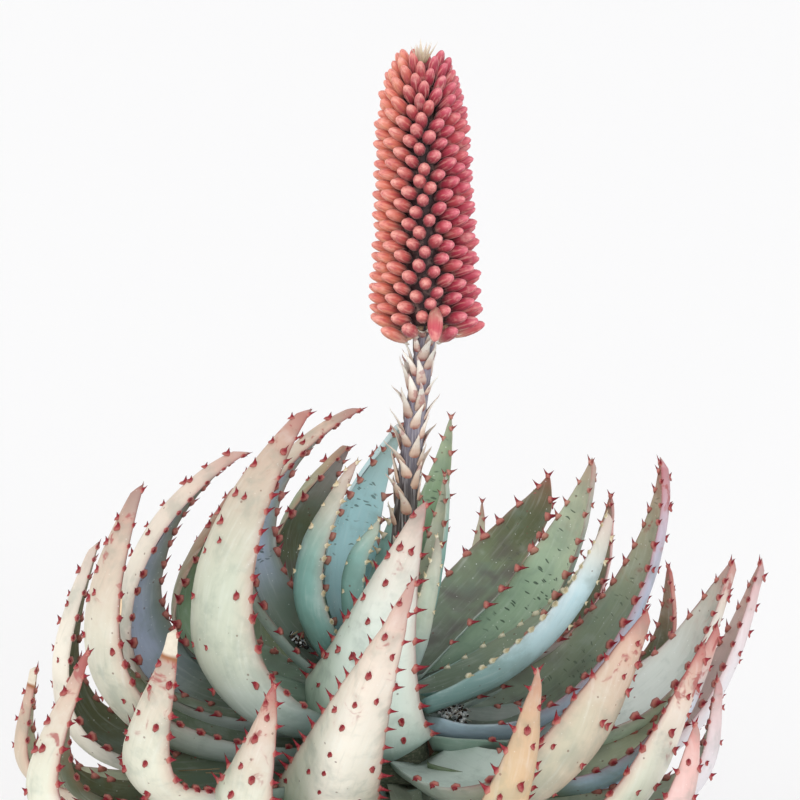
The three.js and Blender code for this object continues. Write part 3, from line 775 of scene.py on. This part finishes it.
class ALOE_OT_leaves(bpy.types.Operator):
    """Grow every leaf with its thorns"""

    bl_idname = "aloe.leaves"
    bl_label = "Leaves"

    def execute(self, context):
        settings = context.scene.aloe_leaf
        skin, thorn = leaf_finish(), thorn_finish()
        templates = [
            thorn_template("margin_thorn", 6, MARGIN_THORN),
            thorn_template("face_thorn", 7, FACE_THORN),
        ]
        for index, leaf in enumerate(LEAVES):
            mesh = leaf_mesh(index, leaf, settings, templates)
            node = f"leaf_{index + 1:02d}"
            finish_piece(mesh, f"blade_{index + 1:02d}", [skin, thorn], [node])
        for template in templates:
            bpy.data.meshes.remove(template)
        return {"FINISHED"}


# Flower stalk and head

# In millimetres: how far the head's foot is above the rosette's, and how tall the head is
HEAD_BOTTOM, HEAD_HEIGHT = 336, 203
# How far the head's foot is to the right, in metres, and the way the head leans as it rises
HEAD_FOOT_X, HEAD_LEAN = 0.0265, Vector((-0.022, 0, 1))
# The stalk's middle as (share, x, y, height), bent a little at each
STALK_KNOTS = [(0.0, 2, 0, 80), (0.448, 11, 0, 200), (0.762, 19, 0, 282), (1.0, 28, 0, HEAD_BOTTOM + 12)]
LOOSE_BRACTS, TOP_BRACTS = 16, 9
# The turn from one bud or bract to the next, in degrees
GOLDEN_ANGLE = -137.508


def stalk_place(share):
    """The middle of the stalk at a share of its height, in metres: it leans from the crown to the head."""
    k = max(i for i in range(3) if share >= STALK_KNOTS[i][0] or i == 0)
    (low, *near), (high, *far) = STALK_KNOTS[k : k + 2]
    middle = Vector(near).lerp(Vector(far), (share - low) / (high - low)) * MM
    return middle + UP * bpy.context.scene.aloe_leaf.foot


def stalk_radius(share):
    return (9.4 - 2.6 * share) * MM


def bract_template():
    """A thin keeled bract along +Z, 1 long and 1 wide, with its back towards -Y."""
    mesh = start_mesh()

    def place(corner, turn, row):
        share = within(row, 0.08, 0.92)
        across, rise = math.cos(2 * math.pi * turn), math.sin(2 * math.pi * turn)
        half = 0.5 * (1 - share) ** 0.9 * (0.6 + 0.4 * smooth(0.0, 0.3, share))
        hug = 0.55 * half * across * across
        thick = 0.035 * (1 - 0.7 * share) * rise
        if row < 0.08:
            half = 0
        return Vector((half * across, hug + thick if half else 0.1, share))

    return kept(wrapped(mesh, 10, 9, place), "bract")


class ALOE_OT_stalk(bpy.types.Operator):
    """Grow the ribbed stalk and its papery bracts"""

    bl_idname = "aloe.stalk"
    bl_label = "Flower stalk"

    def execute(self, context):
        settings = context.scene.aloe_flower
        chance = random.Random(7)
        mesh = start_mesh()
        tone, skin = layers(mesh)[:2]

        def place(corner, turn, row):
            share = within(row, 0.01, 0.98)
            ribs = 0.5 + 0.5 * math.sin(2 * math.pi * 17 * turn + 2 * math.sin(9 * share))
            radius = stalk_radius(share) * (0.96 + 0.05 * ribs)
            colour = mixed(tuple(settings.stalk), paint("5F5560"), 0.6 * ribs)
            corner[tone] = (*mixed(paint("2C2520"), colour, smooth(0.5, 0.78, share)), 1)
            corner[skin] = (turn * 0.6, share * 3, ribs, share)
            middle = stalk_place(share)
            if row < 0.01 or row > 0.99:
                return middle
            return middle + outward(360 * turn) * radius

        mesh = wrapped(mesh, 68, 70, place)
        tone, skin = layers(mesh)[:2]
        template = bract_template()
        rust, paper = paint("8A3A3A"), tuple(settings.paper)
        for k in range(settings.bracts):
            share = 0.36 + 0.635 * (k / (settings.bracts - 1)) ** 0.7
            out = outward(GOLDEN_ANGLE * k + 250)
            side = UP.cross(out)
            crowded = smooth(0.8, 1.0, share)
            size = chance.uniform(17, 27) * (1 - 0.15 * crowded) * MM
            width = (chance.uniform(7.5, 11) + 3 * (1 - crowded)) * MM
            splay = chance.uniform(0.04, 0.2) + (0.32 if k % 4 == 0 else 0) + 0.3 * crowded * chance.random()
            origin = stalk_place(share) + out * (stalk_radius(share) - 0.0018)
            twist = chance.uniform(-0.4, 0.4)
            shade = chance.uniform(0.75, 1.05)
            for corner, before in put(mesh, template, origin, UP + out * 0.06, side, (width, width, size), 1):
                rise = before.z
                corner.co += out * (0.0024 * smooth(0.0, 0.2, rise) + size * splay * rise**2)
                corner.co += side * (size * twist * rise**2)
                colour = mixed(rust, paint("D6BFB0"), smooth(0.16, 0.4, rise + 0.5 * abs(before.x)))
                colour = mixed(colour, paper, smooth(0.38, 0.6, rise))
                colour = mixed(colour, paint("B08A62"), 0.45 * (1 - smooth(0.5, 0.85, share)))
                corner[tone] = (*(min(1, c * shade) for c in colour), 1)
                corner[skin] = (before.x, rise, 0, rise)
        bpy.data.meshes.remove(template)

        bark = Finish("stalk_skin", 0.62)
        streak = bark.noise(bark.scaled(bark.place, 900, 900, 30), 1.0)
        patch = bark.noise(bark.place, 60.0)
        bark.colour(bark.mix(
            bark.read("tone"),
            ((0.75, 0.72, 0.72), (streak - 0.45).ramp(0.0, 0.3) * 0.35),
            ((0.2, 0.12, 0.11), (patch - 0.55).ramp(0.0, 0.2) * 0.45),
        ))
        bark.bump(streak, 0.0004, 0.7)
        dry = Finish("papery_bract", 0.72)
        veins = dry.noise(dry.scaled(dry.place, 1100, 1100, 60), 1.0, 2.0)
        spots = dry.noise(dry.place, 170.0, 2.0)
        dry.colour(dry.mix(
            dry.read("tone"),
            ((0.45, 0.3, 0.22), (veins - 0.5).ramp(0.0, 0.3) * 0.4),
            ((0.36, 0.12, 0.12), (spots - 0.56).ramp(0.0, 0.1) * 0.6),
        ))
        dry.bump(veins, 0.0003, 0.6)
        finish_piece(mesh, "stalk_and_bracts", [bark, dry], ["flower_stalk"])
        return {"FINISHED"}


def head_radius(share):
    """Radius of the head over its bud tips, in millimetres."""
    shoulder = max(0.0, (share - 0.72) / 0.28)
    return 41 - 8 * min(1, share / 0.78) - 17 * shoulder * shoulder


def bud_tilt(share):
    """How steeply a bud points up, in degrees: the topmost ones stand almost upright."""
    return 21 + 52 * max(0.0, (share - 0.68) / 0.32) ** 1.6


def bud_template():
    """A closed bud along +Z, 1 long and 1 in radius, narrow where it joins the head."""
    mesh = start_mesh()
    bmesh.ops.create_uvsphere(mesh, u_segments=9, v_segments=10, radius=1)
    for corner in mesh.verts:
        share = 1 - (1 - math.acos(max(-1, min(1, -corner.co.z))) / math.pi) ** 1.4
        width = math.hypot(corner.co.x, corner.co.y)
        swell = 0.5 + 0.5 * smooth(0.0, 0.45, share) - 0.1 * smooth(0.6, 1.0, share)
        ends = 1 - (abs(share - 0.52) / (0.48 if share > 0.52 else 0.52)) ** (2.4 if share > 0.52 else 8)
        ends = math.sqrt(max(0.0, ends))
        grow = swell * ends / width if width > 1e-6 else 0
        corner.co = Vector((corner.co.x * grow, corner.co.y * grow, share))
    return kept(mesh, "bud")


def bud_colour(settings, before, out, warm, base):
    """The painted colour of a bud, with painted light and shade: orange on the lit side of the head, crimson
    on its shaded side, and painted shade on each bud's underside.
    """
    rise, underside_shade = before.z, smooth(0.0, 0.9, -before.y)
    # Painted light: the left of the head is painted as its lit side, orange and paler, and the right as its
    # shaded side, crimson.
    lit = 0.5 - 0.5 * out.x
    half_lit = smooth(0.2, 0.6, lit)
    body = mixed(paint("B6344C"), settings.coral, half_lit)
    body = mixed(body, paint("D8795C"), 0.8 * smooth(0.55, 1.0, lit))
    # Painted shade on each bud's underside: dark crimson, turning to a painted cream glow where the head is
    # lit.
    edge = mixed(paint("861C32"), paint("DCA27E"), smooth(0.72, 0.98, lit))
    tip = mixed(paint("DC7A88"), settings.salmon, half_lit)
    colour = mixed(base, body, smooth(0.2, 0.7, rise))
    colour = mixed(colour, edge, 0.75 * underside_shade * smooth(0.2, 0.5, rise))
    colour = mixed(colour, tip, 0.8 * smooth(0.7, 0.97, rise) * (1 - 0.6 * underside_shade))
    return mixed(colour, paint("B23A48" if warm > 0 else "DB7A62"), 0.22 * abs(warm))


class ALOE_OT_head(bpy.types.Operator):
    """Set the flower head with its closed buds"""

    bl_idname = "aloe.head"
    bl_label = "Flower head"

    def execute(self, context):
        settings = context.scene.aloe_flower
        chance = random.Random(21)
        bottom = Vector((HEAD_FOOT_X, 0, context.scene.aloe_leaf.foot + HEAD_BOTTOM * MM))
        paper = tuple(settings.paper)

        def level(height):
            """The middle of the head at a height above its foot, in millimetres."""
            return bottom + HEAD_LEAN * (height * MM)

        def place(corner, turn, row):
            share = within(row, 0.03, 0.94)
            # Painted shade: the core of the head is painted nearly black, for the deep gaps between the buds.
            corner[tone] = (*paint("1E0609"), 1)
            middle = level(8 + share * (HEAD_HEIGHT - 30))
            if row < 0.03 or row > 0.97:
                return middle
            radius = max(6, head_radius(share) - 19) * (1 if share > 0.04 else 0.75)
            return middle + outward(360 * turn) * radius * MM

        mesh = start_mesh()
        tone, skin = layers(mesh)[:2]
        mesh = wrapped(mesh, 24, 24, place)
        tone, skin = layers(mesh)[:2]
        template, sheath = bud_template(), bract_template()
        for k in range(settings.buds):
            drooping = k == 0
            share = (k / (settings.buds - 1)) ** 0.97
            out = outward(270 + GOLDEN_ANGLE * k + chance.uniform(-3, 3))
            side = UP.cross(out)
            loose = 1 - smooth(0.0, 0.06, share)
            shown = smooth(0.1, 0.5, loose)
            tilt = math.radians(bud_tilt(share) + chance.uniform(-4, 4) + 5 * loose)
            radius = head_radius(share) + chance.uniform(-2.2, 0.2)
            end = level(8 + share * (HEAD_HEIGHT - 14)) + out * (radius * MM)
            if drooping:
                tilt, end = math.radians(-55), bottom + Vector((0.005, -0.043, 0.005))
            aim = out * math.cos(tilt) + UP * math.sin(tilt)
            build = 1 + 0.14 * loose - 0.15 * smooth(0.75, 1, share)
            size = settings.bud_length * chance.uniform(0.95, 1.06) * build
            girth = settings.bud_radius * chance.uniform(0.92, 1.06) * build * (1.15 if drooping else 1)
            root = end - aim * size
            warm = chance.uniform(-1, 1)
            # Painted shade: the roots of the buds deep in the head are painted dark maroon; the loose lower
            # buds keep their pale roots.
            base = mixed(paint("34080F"), paint("C79A86"), 0.85 * shown)
            for corner, before in put(mesh, template, root, aim, side, (girth, girth, size)):
                rise = before.z
                corner.co += UP * (0.096 * size * (rise - rise * rise))
                corner[tone] = (*bud_colour(settings, before, out, warm, base), 1)
                corner[skin] = (before.x, before.y, 7 * k, rise)
            sizes = (girth * 1.4, girth * 1.4, size * 0.55)
            for corner, before in put(mesh, sheath, root - UP * 0.5 * girth, aim, side, sizes, 1):
                # Painted shade: each sheath is dark maroon at its root, deep in the head, and papery at its
                # tip and on the loose lower buds.
                pale = max(0.8 * smooth(0.65, 1.0, before.z), 0.75 * shown)
                corner[tone] = (*mixed(paint("3A0A10"), paper, pale), 1)
            if loose > 0.2:
                hold = level(4 + share * HEAD_HEIGHT) + out * 0.004
                reach = root + aim * (0.12 * size) - hold
                sizes = (0.0023, 0.0023, reach.length)
                for corner, before in put(mesh, template, hold, reach, side, sizes, 1):
                    corner[tone] = (*mixed(paint("D9CFAE"), paint("C08A72"), before.z), 1)
        for k in range(LOOSE_BRACTS):
            out = outward(GOLDEN_ANGLE * k + 20)
            aim = out + UP * chance.uniform(-0.1, 0.6)
            sizes = (0.006, 0.006, chance.uniform(0.016, 0.026))
            for corner, before in put(mesh, sheath, level(3) + out * 0.005, aim, UP.cross(out), sizes, 1):
                corner.co += UP * (0.003 * before.z**2)
                corner[tone] = (*mixed(paint("A5605A"), paper, smooth(0.1, 0.5, before.z)), 1)
        for k in range(TOP_BRACTS):
            out = outward(40 * k + 15)
            foot = level(HEAD_HEIGHT - 16) + out * 0.003
            aim = UP + out * chance.uniform(0.1, 0.7)
            sizes = (0.0045, 0.0045, chance.uniform(0.012, 0.019))
            for corner, before in put(mesh, sheath, foot, aim, UP.cross(out), sizes, 1):
                corner[tone] = (*mixed(paint("CDB98F"), paper, before.z), 1)
        for template_mesh in (template, sheath):
            bpy.data.meshes.remove(template_mesh)

        velvet = Finish("bud_skin", 0.5, Sheen_Weight=0.12, Sheen_Roughness=0.5)
        mottle = velvet.noise(velvet.place, 180.0)
        distance, luck = velvet.cells(velvet.place, 420.0)
        stripe = velvet.noise(velvet.scaled(velvet.read("skin"), 2.6, 2.6, 1), 1.0, 1.0)
        velvet.colour(velvet.mix(
            velvet.read("tone"),
            ((0.93, 0.62, 0.52), (mottle - 0.5).ramp(0.0, 0.25) * 0.3),
            ((0.3, 0.08, 0.07), (0.16 - distance).ramp(0.0, 0.08) * (luck > 0.85) * 0.5),
            ((0.42, 0.04, 0.08), (0.5 - stripe).ramp(0.0, 0.2) * 0.5),
            ((0.9, 0.5, 0.42), (stripe - 0.52).ramp(0.0, 0.2) * 0.35),
        ))
        velvet.roughness(0.48 + mottle * 0.2)
        velvet.bump(mottle, 0.0003, 0.5)
        dry = Finish("bud_sheath", 0.75, Specular_IOR_Level=0.1)
        dry.colour(dry.mix(dry.read("tone"), ((0.5, 0.36, 0.26), dry.noise(dry.place, 500.0) * 0.4)))
        finish_piece(mesh, "head_of_buds", [velvet, dry], ["flower_head"])
        return {"FINISHED"}


# Pot, soil and stem

# Radius of the pot where it stands
POT_FOOT = 0.1


class ALOE_OT_pot(bpy.types.Operator):
    """Turn the clay pot"""

    bl_idname = "aloe.pot"
    bl_label = "Pot"

    def execute(self, context):
        settings = context.scene.aloe_pot
        rim, top = POT_HIGH.x, POT_HIGH.z
        foot, base = POT_FOOT, 0.012
        under = rim - settings.step
        low = top - settings.collar
        outline = [(0.0, 0.0), (foot - 0.004, 0.0), (foot - 0.0015, 0.0008), (foot, 0.003)]
        for share in (k / 12 for k in range(1, 12)):
            outline.append((foot + (under - 0.003 - foot) * share, 0.003 + (low - 0.007) * share))
        outline += [(under - 0.003, low - 0.005), (under - 0.001, low - 0.0035), (rim - 0.003, low - 0.0005)]
        outline += [(rim - 0.001, low + 0.001), (rim, low + 0.004), (rim, low + 0.016), (rim, top - 0.006)]
        inner = rim - settings.wall
        outline += [(rim - 0.001, top - 0.002), (rim - 0.004, top), (inner + 0.002, top)]
        outline += [(inner, top - 0.0015), (inner - 0.004, top - 0.008), (inner - 0.01, top - 0.03)]
        outline += [(foot - settings.wall, base), (0.0, base)]
        mesh = turned(outline, 96)
        for corner in mesh.verts:
            flat = Vector((corner.co.x, corner.co.y, 0))
            if flat.length > 0.05:
                corner.co += flat.normalized() * (0.0006 * noise.noise(corner.co * 9))
        pot = finish_piece(mesh, "clay_pot", [], ["pot"])
        drains = start_mesh()
        for k in range(3):
            matrix = Matrix.Translation(outward(120 * k + 90) * 0.048)
            bmesh.ops.create_cone(
                drains, cap_ends=True, segments=24, radius1=0.007, radius2=0.007, depth=0.04, matrix=matrix
            )
        cutter = bpy.data.objects.new("drain_cutter", kept(drains, "drain_cutter"))
        context.scene.collection.objects.link(cutter)
        cut = pot.modifiers.new("drains", "BOOLEAN")
        cut.operation, cut.object, cut.solver = "DIFFERENCE", cutter, "EXACT"
        context.view_layer.update()
        pierced = bpy.data.meshes.new_from_object(pot.evaluated_get(context.evaluated_depsgraph_get()))
        pot.modifiers.clear()
        pot.data = pierced
        bpy.data.objects.remove(cutter)

        clay = Finish("fired_clay", 0.85)
        clouds = clay.noise(clay.place, 7.0, 5.0, 0.6, 0.4)
        grain = clay.noise(clay.place, 240.0, 4.0, 0.65)
        rings = clay.noise(clay.scaled(clay.place, 6, 6, 420), 1.0, 2.0)
        height = Number(clay, clay.node("SeparateXYZ", {}, {"Vector": clay.place}).outputs["Z"])
        # Lime gathers near the foot and under the rim, and the inside is dark below the rim.
        lime = (clouds + (0.05 - height) * 2.2 - 0.5).ramp(0.0, 0.3)
        lime = lime + (clouds + (height - 0.222) * 9 - 0.62).ramp(0, 0.3)
        level = clay.scaled(clay.place, 1, 1, 0)
        around = Number(clay, clay.node("VectorMath", {"operation": "LENGTH"}, {0: level}).outputs[1])
        inside = (height * 0.215 + 0.0955 - around).ramp(0.0, 0.003) * (height > 0.02)
        clay.colour(clay.mix(
            tuple(settings.clay),
            ((0.62, 0.27, 0.15), (clouds - 0.45).ramp(0.0, 0.3) * 0.6),
            ((0.26, 0.09, 0.05), (0.45 - grain).ramp(0.0, 0.2) * 0.35),
            (tuple(settings.bloom), lime * (0.35 + grain * 0.5) * 0.8),
            ((0.07, 0.04, 0.03), inside * (0.7 + grain * 0.3)),
        ))
        clay.roughness(0.78 + grain * 0.16)
        clay.bump(rings * 0.6 + grain * 0.5, 0.0006, 0.6)
        pot.data.materials.clear()
        pot.data.materials.append(clay.material)
        return {"FINISHED"}


class ALOE_OT_soil(bpy.types.Operator):
    """Fill the pot with gritty soil"""

    bl_idname = "aloe.soil"
    bl_label = "Soil"

    def execute(self, context):
        settings = context.scene.aloe_soil
        chance = random.Random(3)
        reach, top = SOIL_HIGH.x, SOIL_HIGH.z - 0.006
        hole = STEM_HIGH.x + 0.0006
        wall = POT_FOOT - context.scene.aloe_pot.wall

        def ground(radius):
            heap, edge = 1 - smooth(0.04, reach, radius), smooth(0.85 * reach, reach, radius)
            return top + 0.006 * heap - 0.003 * edge

        outline = [(0.0, SOIL_LOW.z), (wall - 0.001, SOIL_LOW.z), (reach, top - 0.004)]
        for k in range(28):
            radius = reach - 0.0004 - (reach - hole) * k / 27
            outline.append((radius, ground(radius)))
        outline += [(hole, top - 0.05), (0.0, top - 0.05)]
        mesh = turned(outline, 120)
        for corner in mesh.verts:
            radius = math.hypot(corner.co.x, corner.co.y)
            if corner.co.z > top - 0.005 and radius < reach - 0.001:
                rough = noise.noise(corner.co * 160) * 0.0016 + noise.noise(corner.co * 45) * 0.0022
                corner.co.z += rough - 0.001
        tone = layers(mesh)[0]
        for corner in mesh.verts:
            corner[tone] = (*settings.mix, 1)
        stone = bmesh.new()
        bmesh.ops.create_icosphere(stone, subdivisions=2, radius=1)
        for corner in stone.verts:
            corner.co *= 1 + 0.22 * noise.noise(corner.co * 1.4)
        stone = kept(stone, "stone")
        kinds = [tuple(settings.grit), paint("7F7468"), paint("C9BFAE"), paint("5E4A3A"), paint("96705A")]
        for k in range(settings.stones):
            radius = math.sqrt(chance.uniform((hole + 0.004) ** 2, (reach - 0.005) ** 2))
            place = outward(chance.uniform(0, 360)) * radius
            size = chance.uniform(1.2, 3.6) * MM
            matrix = Matrix.Translation(place + UP * (ground(radius) + size * 0.1 - 0.001))
            for most, axis in ((6.3, "Z"), (0.6, "X")):
                matrix = matrix @ Matrix.Rotation(chance.uniform(0, most), 4, axis)
            matrix = matrix @ Matrix.Diagonal((size * chance.uniform(0.9, 1.4), size, size * 0.7, 1))
            colour = mixed(chance.choice(kinds), (0.3, 0.27, 0.22), chance.uniform(0, 0.4))
            for corner, before in stamp(mesh, stone, matrix, 1):
                corner[tone] = (*colour, 1)
        bpy.data.meshes.remove(stone)

        mix = Finish("potting_mix", 0.95)
        lumps = mix.noise(mix.place, 320.0, 5.0, 0.7)
        distance, luck = mix.cells(mix.place, 420.0)
        mix.colour(mix.mix(
            mix.read("tone"),
            ((0.14, 0.1, 0.07), (lumps - 0.45).ramp(0.0, 0.25) * 0.9),
            ((0.42, 0.36, 0.28), (0.3 - distance).ramp(0.0, 0.1) * (luck > 0.8) * 0.8),
        ))
        mix.bump(lumps + distance * 0.5, 0.0012, 0.9)
        grit = Finish("grit", 0.8)
        grain = grit.noise(grit.place, 700.0)
        grit.colour(grit.mix(grit.read("tone"), ((0.12, 0.1, 0.08), (0.5 - grain).ramp(0.0, 0.3) * 0.6)))
        grit.bump(grain, 0.0004, 0.7)
        finish_piece(mesh, "gritty_soil", [mix, grit], ["soil"])
        return {"FINISHED"}


class ALOE_OT_stem(bpy.types.Operator):
    """Shape the short stem with its leaf scars"""

    bl_idname = "aloe.stem"
    bl_label = "Stem"

    def execute(self, context):
        foot = context.scene.aloe_leaf.foot
        low, high = STEM_LOW.z, STEM_HIGH.z
        outline = [(0.0, low), (0.026, low), (0.032, low + 0.008)]
        for k in range(64):
            height = low + 0.012 + (high - low - 0.013) * k / 63
            scar = 0.5 + 0.5 * math.cos(2 * math.pi * (height - low) / 0.0085)
            outline.append((stem_radius((height - foot) / MM) * MM - 0.0014 * scar**3, height))
        outline.append((0.0, high))
        mesh = turned(outline, 60)
        tone = layers(mesh)[0]
        for corner in mesh.verts:
            flat = Vector((corner.co.x, corner.co.y, 0))
            wobble = noise.noise(corner.co * 70)
            if flat.length > 0.01:
                corner.co += flat.normalized() * (0.0009 * (wobble - 0.6))
            corner[tone] = (*mixed(paint("5C6650"), paint("33382A"), 0.5 + 0.5 * wobble), 1)
        bark = Finish("leaf_scars", 0.85)
        fibre = bark.noise(bark.scaled(bark.place, 300, 300, 700), 1.0, 4.0, 0.6)
        bark.colour(bark.mix(bark.read("tone"), ((0.3, 0.27, 0.19), (fibre - 0.45).ramp(0.0, 0.3) * 0.5)))
        bark.bump(fibre, 0.0008, 0.8)
        finish_piece(mesh, "scarred_stem", [bark], ["stem"])
        return {"FINISHED"}


# Litter caught between the leaves, and scars


# Heaps between the leaves: middle, way up the leaf, spread, crumbs and threads
HEAPS = (
    ((47, 12, 299), (0.3, -0.3, 0.9), 10, 130, 70),
    ((-66, 1, 359), (0.66, 0.1, 0.74), 6, 60, 10),
)
# Straws that stick out: middle, direction and length
STRAWS = (
    ((-134, -52, 284), (1, -0.1, 0.1), 30),
    ((-118, -56, 283), (1, 0.3, -0.2), 22),
    ((-64, 2, 362), (0.5, 0.2, 1), 12),
    ((-70, 4, 364), (0.8, -0.2, 0.6), 11),
)
# Dry scars: middle, direction out of the leaf, half width, half height, colours of the rim and the heart
SCARS = (
    ((-182.3, -81.6, 418), (-0.31, -0.93, 0.18), 2.9, 15, "E3C9A8", "5E4A44"),
    ((85.7, -169.2, 338.5), (0.1, -0.99, 0.11), 3.4, 3.6, "A04A48", "EBD3BC"),
)


class ALOE_OT_litter(bpy.types.Operator):
    """Scatter crumbs, threads and straws between the leaves and lay the dry scars"""

    bl_idname = "aloe.litter"
    bl_label = "Litter and scars"

    def execute(self, context):
        chance = random.Random(11)
        mesh = start_mesh()
        tone = layers(mesh)[0]
        ball = shape("crumb", bmesh.ops.create_icosphere, subdivisions=1, radius=1)
        taper = {"radius1": 1, "radius2": 0.7, "depth": 1}
        rod = shape("straw", bmesh.ops.create_cone, cap_ends=True, segments=5, **taper)
        disc = shape("scar", bmesh.ops.create_uvsphere, u_segments=20, v_segments=10, radius=1)

        def lay(template, place, aim, side, sizes, colour):
            sizes = [v * MM for v in sizes]
            for corner, before in put(mesh, template, Vector(place) * MM, Vector(aim), Vector(side), sizes):
                corner[tone] = (*paint(colour), 1)

        def anyway(reach):
            return Vector([chance.uniform(-reach, reach) for k in range(3)])

        for middle, slope, spread, crumbs, threads in HEAPS:
            slope = Vector(slope)
            along = slope.cross(Vector((0, 1, 0)))
            for k in range(crumbs + threads):
                shift = anyway(spread)
                flat = shift - slope * shift.dot(slope) / slope.dot(slope)
                place = Vector(middle) + flat + slope * chance.uniform(0, 2.5)
                if k < crumbs:
                    size = chance.uniform(0.6, 1.8)
                    shade = chance.choice(("2A1E16", "3A2A20", "1C1512", "C4CACC", "E2E4E2"))
                    lay(ball, place, anyway(1), along, (size, size * 0.7, size * 1.3), shade)
                else:
                    shade = chance.choice(("B9BFC2", "D8DCDC", "8D9699", "C9C2B4"))
                    aim = anyway(1) + along * 0.5
                    lay(rod, place + slope, aim, slope, (0.28, 0.28, chance.uniform(3, 8)), shade)
        for place, aim, size in STRAWS:
            lay(rod, place, aim, (0, 1, 0), (0.5, 0.5, size), "A08C6C")
        for place, out, broad, tall, rim, heart in SCARS:
            lay(disc, place, out, (0, 0, 1), (tall, broad, 0.6), rim)
            lay(disc, place, out, (0, 0, 1), (tall * 0.7, broad * 0.55, 0.9), heart)
        for template in (ball, rod, disc):
            bpy.data.meshes.remove(template)
        dust = Finish("dry_litter", 0.9)
        grain = dust.noise(dust.place, 600.0)
        dust.colour(dust.mix(dust.read("tone"), ((0.1, 0.08, 0.06), (0.5 - grain).ramp(0.0, 0.3) * 0.5)))
        dust.bump(grain, 0.0004, 0.7)
        finish_piece(mesh, "litter_and_scars", [dust])
        return {"FINISHED"}


# Stage


# What the camera looks at
TARGET = Vector((0.008, 0, 0.54))
# Soft suns: name, where they shine from, spread in degrees, power and colour
SUNS = (
    ("key", (-1.3, -1.2, 1.6), 50, 0.62, (1.0, 0.95, 0.88)),
    ("front", (0.25, -1.6, 0.45), 50, 1.75, (0.98, 0.99, 1.0)),
    ("glow", (-1.6, 0.9, 0.5), 40, 0.8, (1.0, 0.86, 0.74)),
    ("shine", (1.6, 0.5, 0.6), 50, 0.45, (0.93, 0.96, 1.0)),
)


class ALOE_OT_stage(bpy.types.Operator):
    """Set the floor, the lights and the camera"""

    bl_idname = "aloe.stage"
    bl_label = "Stage"

    def execute(self, context):
        settings = context.scene.aloe_stage
        scene = context.scene
        data = shape("floor", bmesh.ops.create_grid, x_segments=2, y_segments=2, size=40)
        floor = bpy.data.objects.new("floor", data)
        scene.collection.objects.link(floor)
        pale = Finish("floor_paint", 0.9, Specular_IOR_Level=0.1)
        pale.colour(tuple(settings.floor))
        data.materials.append(pale.material)

        world = bpy.data.worlds.new("pale_room")
        world.use_nodes = True
        sky = world.node_tree.nodes["Background"]
        sky.inputs["Color"].default_value = (0.97, 0.985, 1.0, 1)
        sky.inputs["Strength"].default_value = 0.68
        scene.world = world
        for name, place, spread, power, colour in SUNS:
            lamp = bpy.data.lights.new(name, "SUN")
            lamp.angle, lamp.energy, lamp.color = math.radians(spread), power, colour
            light = bpy.data.objects.new(name, lamp)
            light.location = place
            light.rotation_euler = Vector(place).to_track_quat("Z", "Y").to_euler()
            scene.collection.objects.link(light)

        lens = bpy.data.cameras.new("camera")
        lens.lens, lens.sensor_width, lens.clip_end = settings.lens, 36, 200
        camera = bpy.data.objects.new("camera", lens)
        back = Vector((0, -math.cos(settings.pitch), math.sin(settings.pitch)))
        camera.location = TARGET + back * settings.distance
        camera.rotation_euler = (math.pi / 2 - settings.pitch, 0, 0)
        scene.collection.objects.link(camera)
        scene.camera = camera
        scene.view_settings.view_transform = "Standard"
        return {"FINISHED"}


OPERATORS = (
    ALOE_OT_pot,
    ALOE_OT_soil,
    ALOE_OT_stem,
    ALOE_OT_leaves,
    ALOE_OT_stalk,
    ALOE_OT_head,
    ALOE_OT_litter,
    ALOE_OT_stage,
)


class ALOE_PT_panel(bpy.types.Panel):
    """Sizes, colours and makers of the aloe"""

    bl_label = "Aloe"
    bl_space_type = "VIEW_3D"
    bl_region_type = "UI"
    bl_category = "Aloe"

    def draw(self, context):
        for name in SETTINGS:
            settings = getattr(context.scene, name)
            box = self.layout.box()
            for field in settings.bl_rna.properties:
                if field.identifier not in ("rna_type", "name"):
                    box.prop(settings, field.identifier)
        for operator in OPERATORS:
            self.layout.operator(operator.bl_idname)


CLASSES = (*SETTINGS.values(), *OPERATORS, ALOE_PT_panel)


def register():
    for cls in CLASSES:
        bpy.utils.register_class(cls)
    for name, cls in SETTINGS.items():
        setattr(bpy.types.Scene, name, PointerProperty(type=cls))


def unregister():
    for name in SETTINGS:
        delattr(bpy.types.Scene, name)
    for cls in reversed(CLASSES):
        bpy.utils.unregister_class(cls)


def main():
    register()
    for operator in OPERATORS:
        group, name = operator.bl_idname.split(".")
        getattr(getattr(bpy.ops, group), name)()


if __name__ == "__main__":
    main()
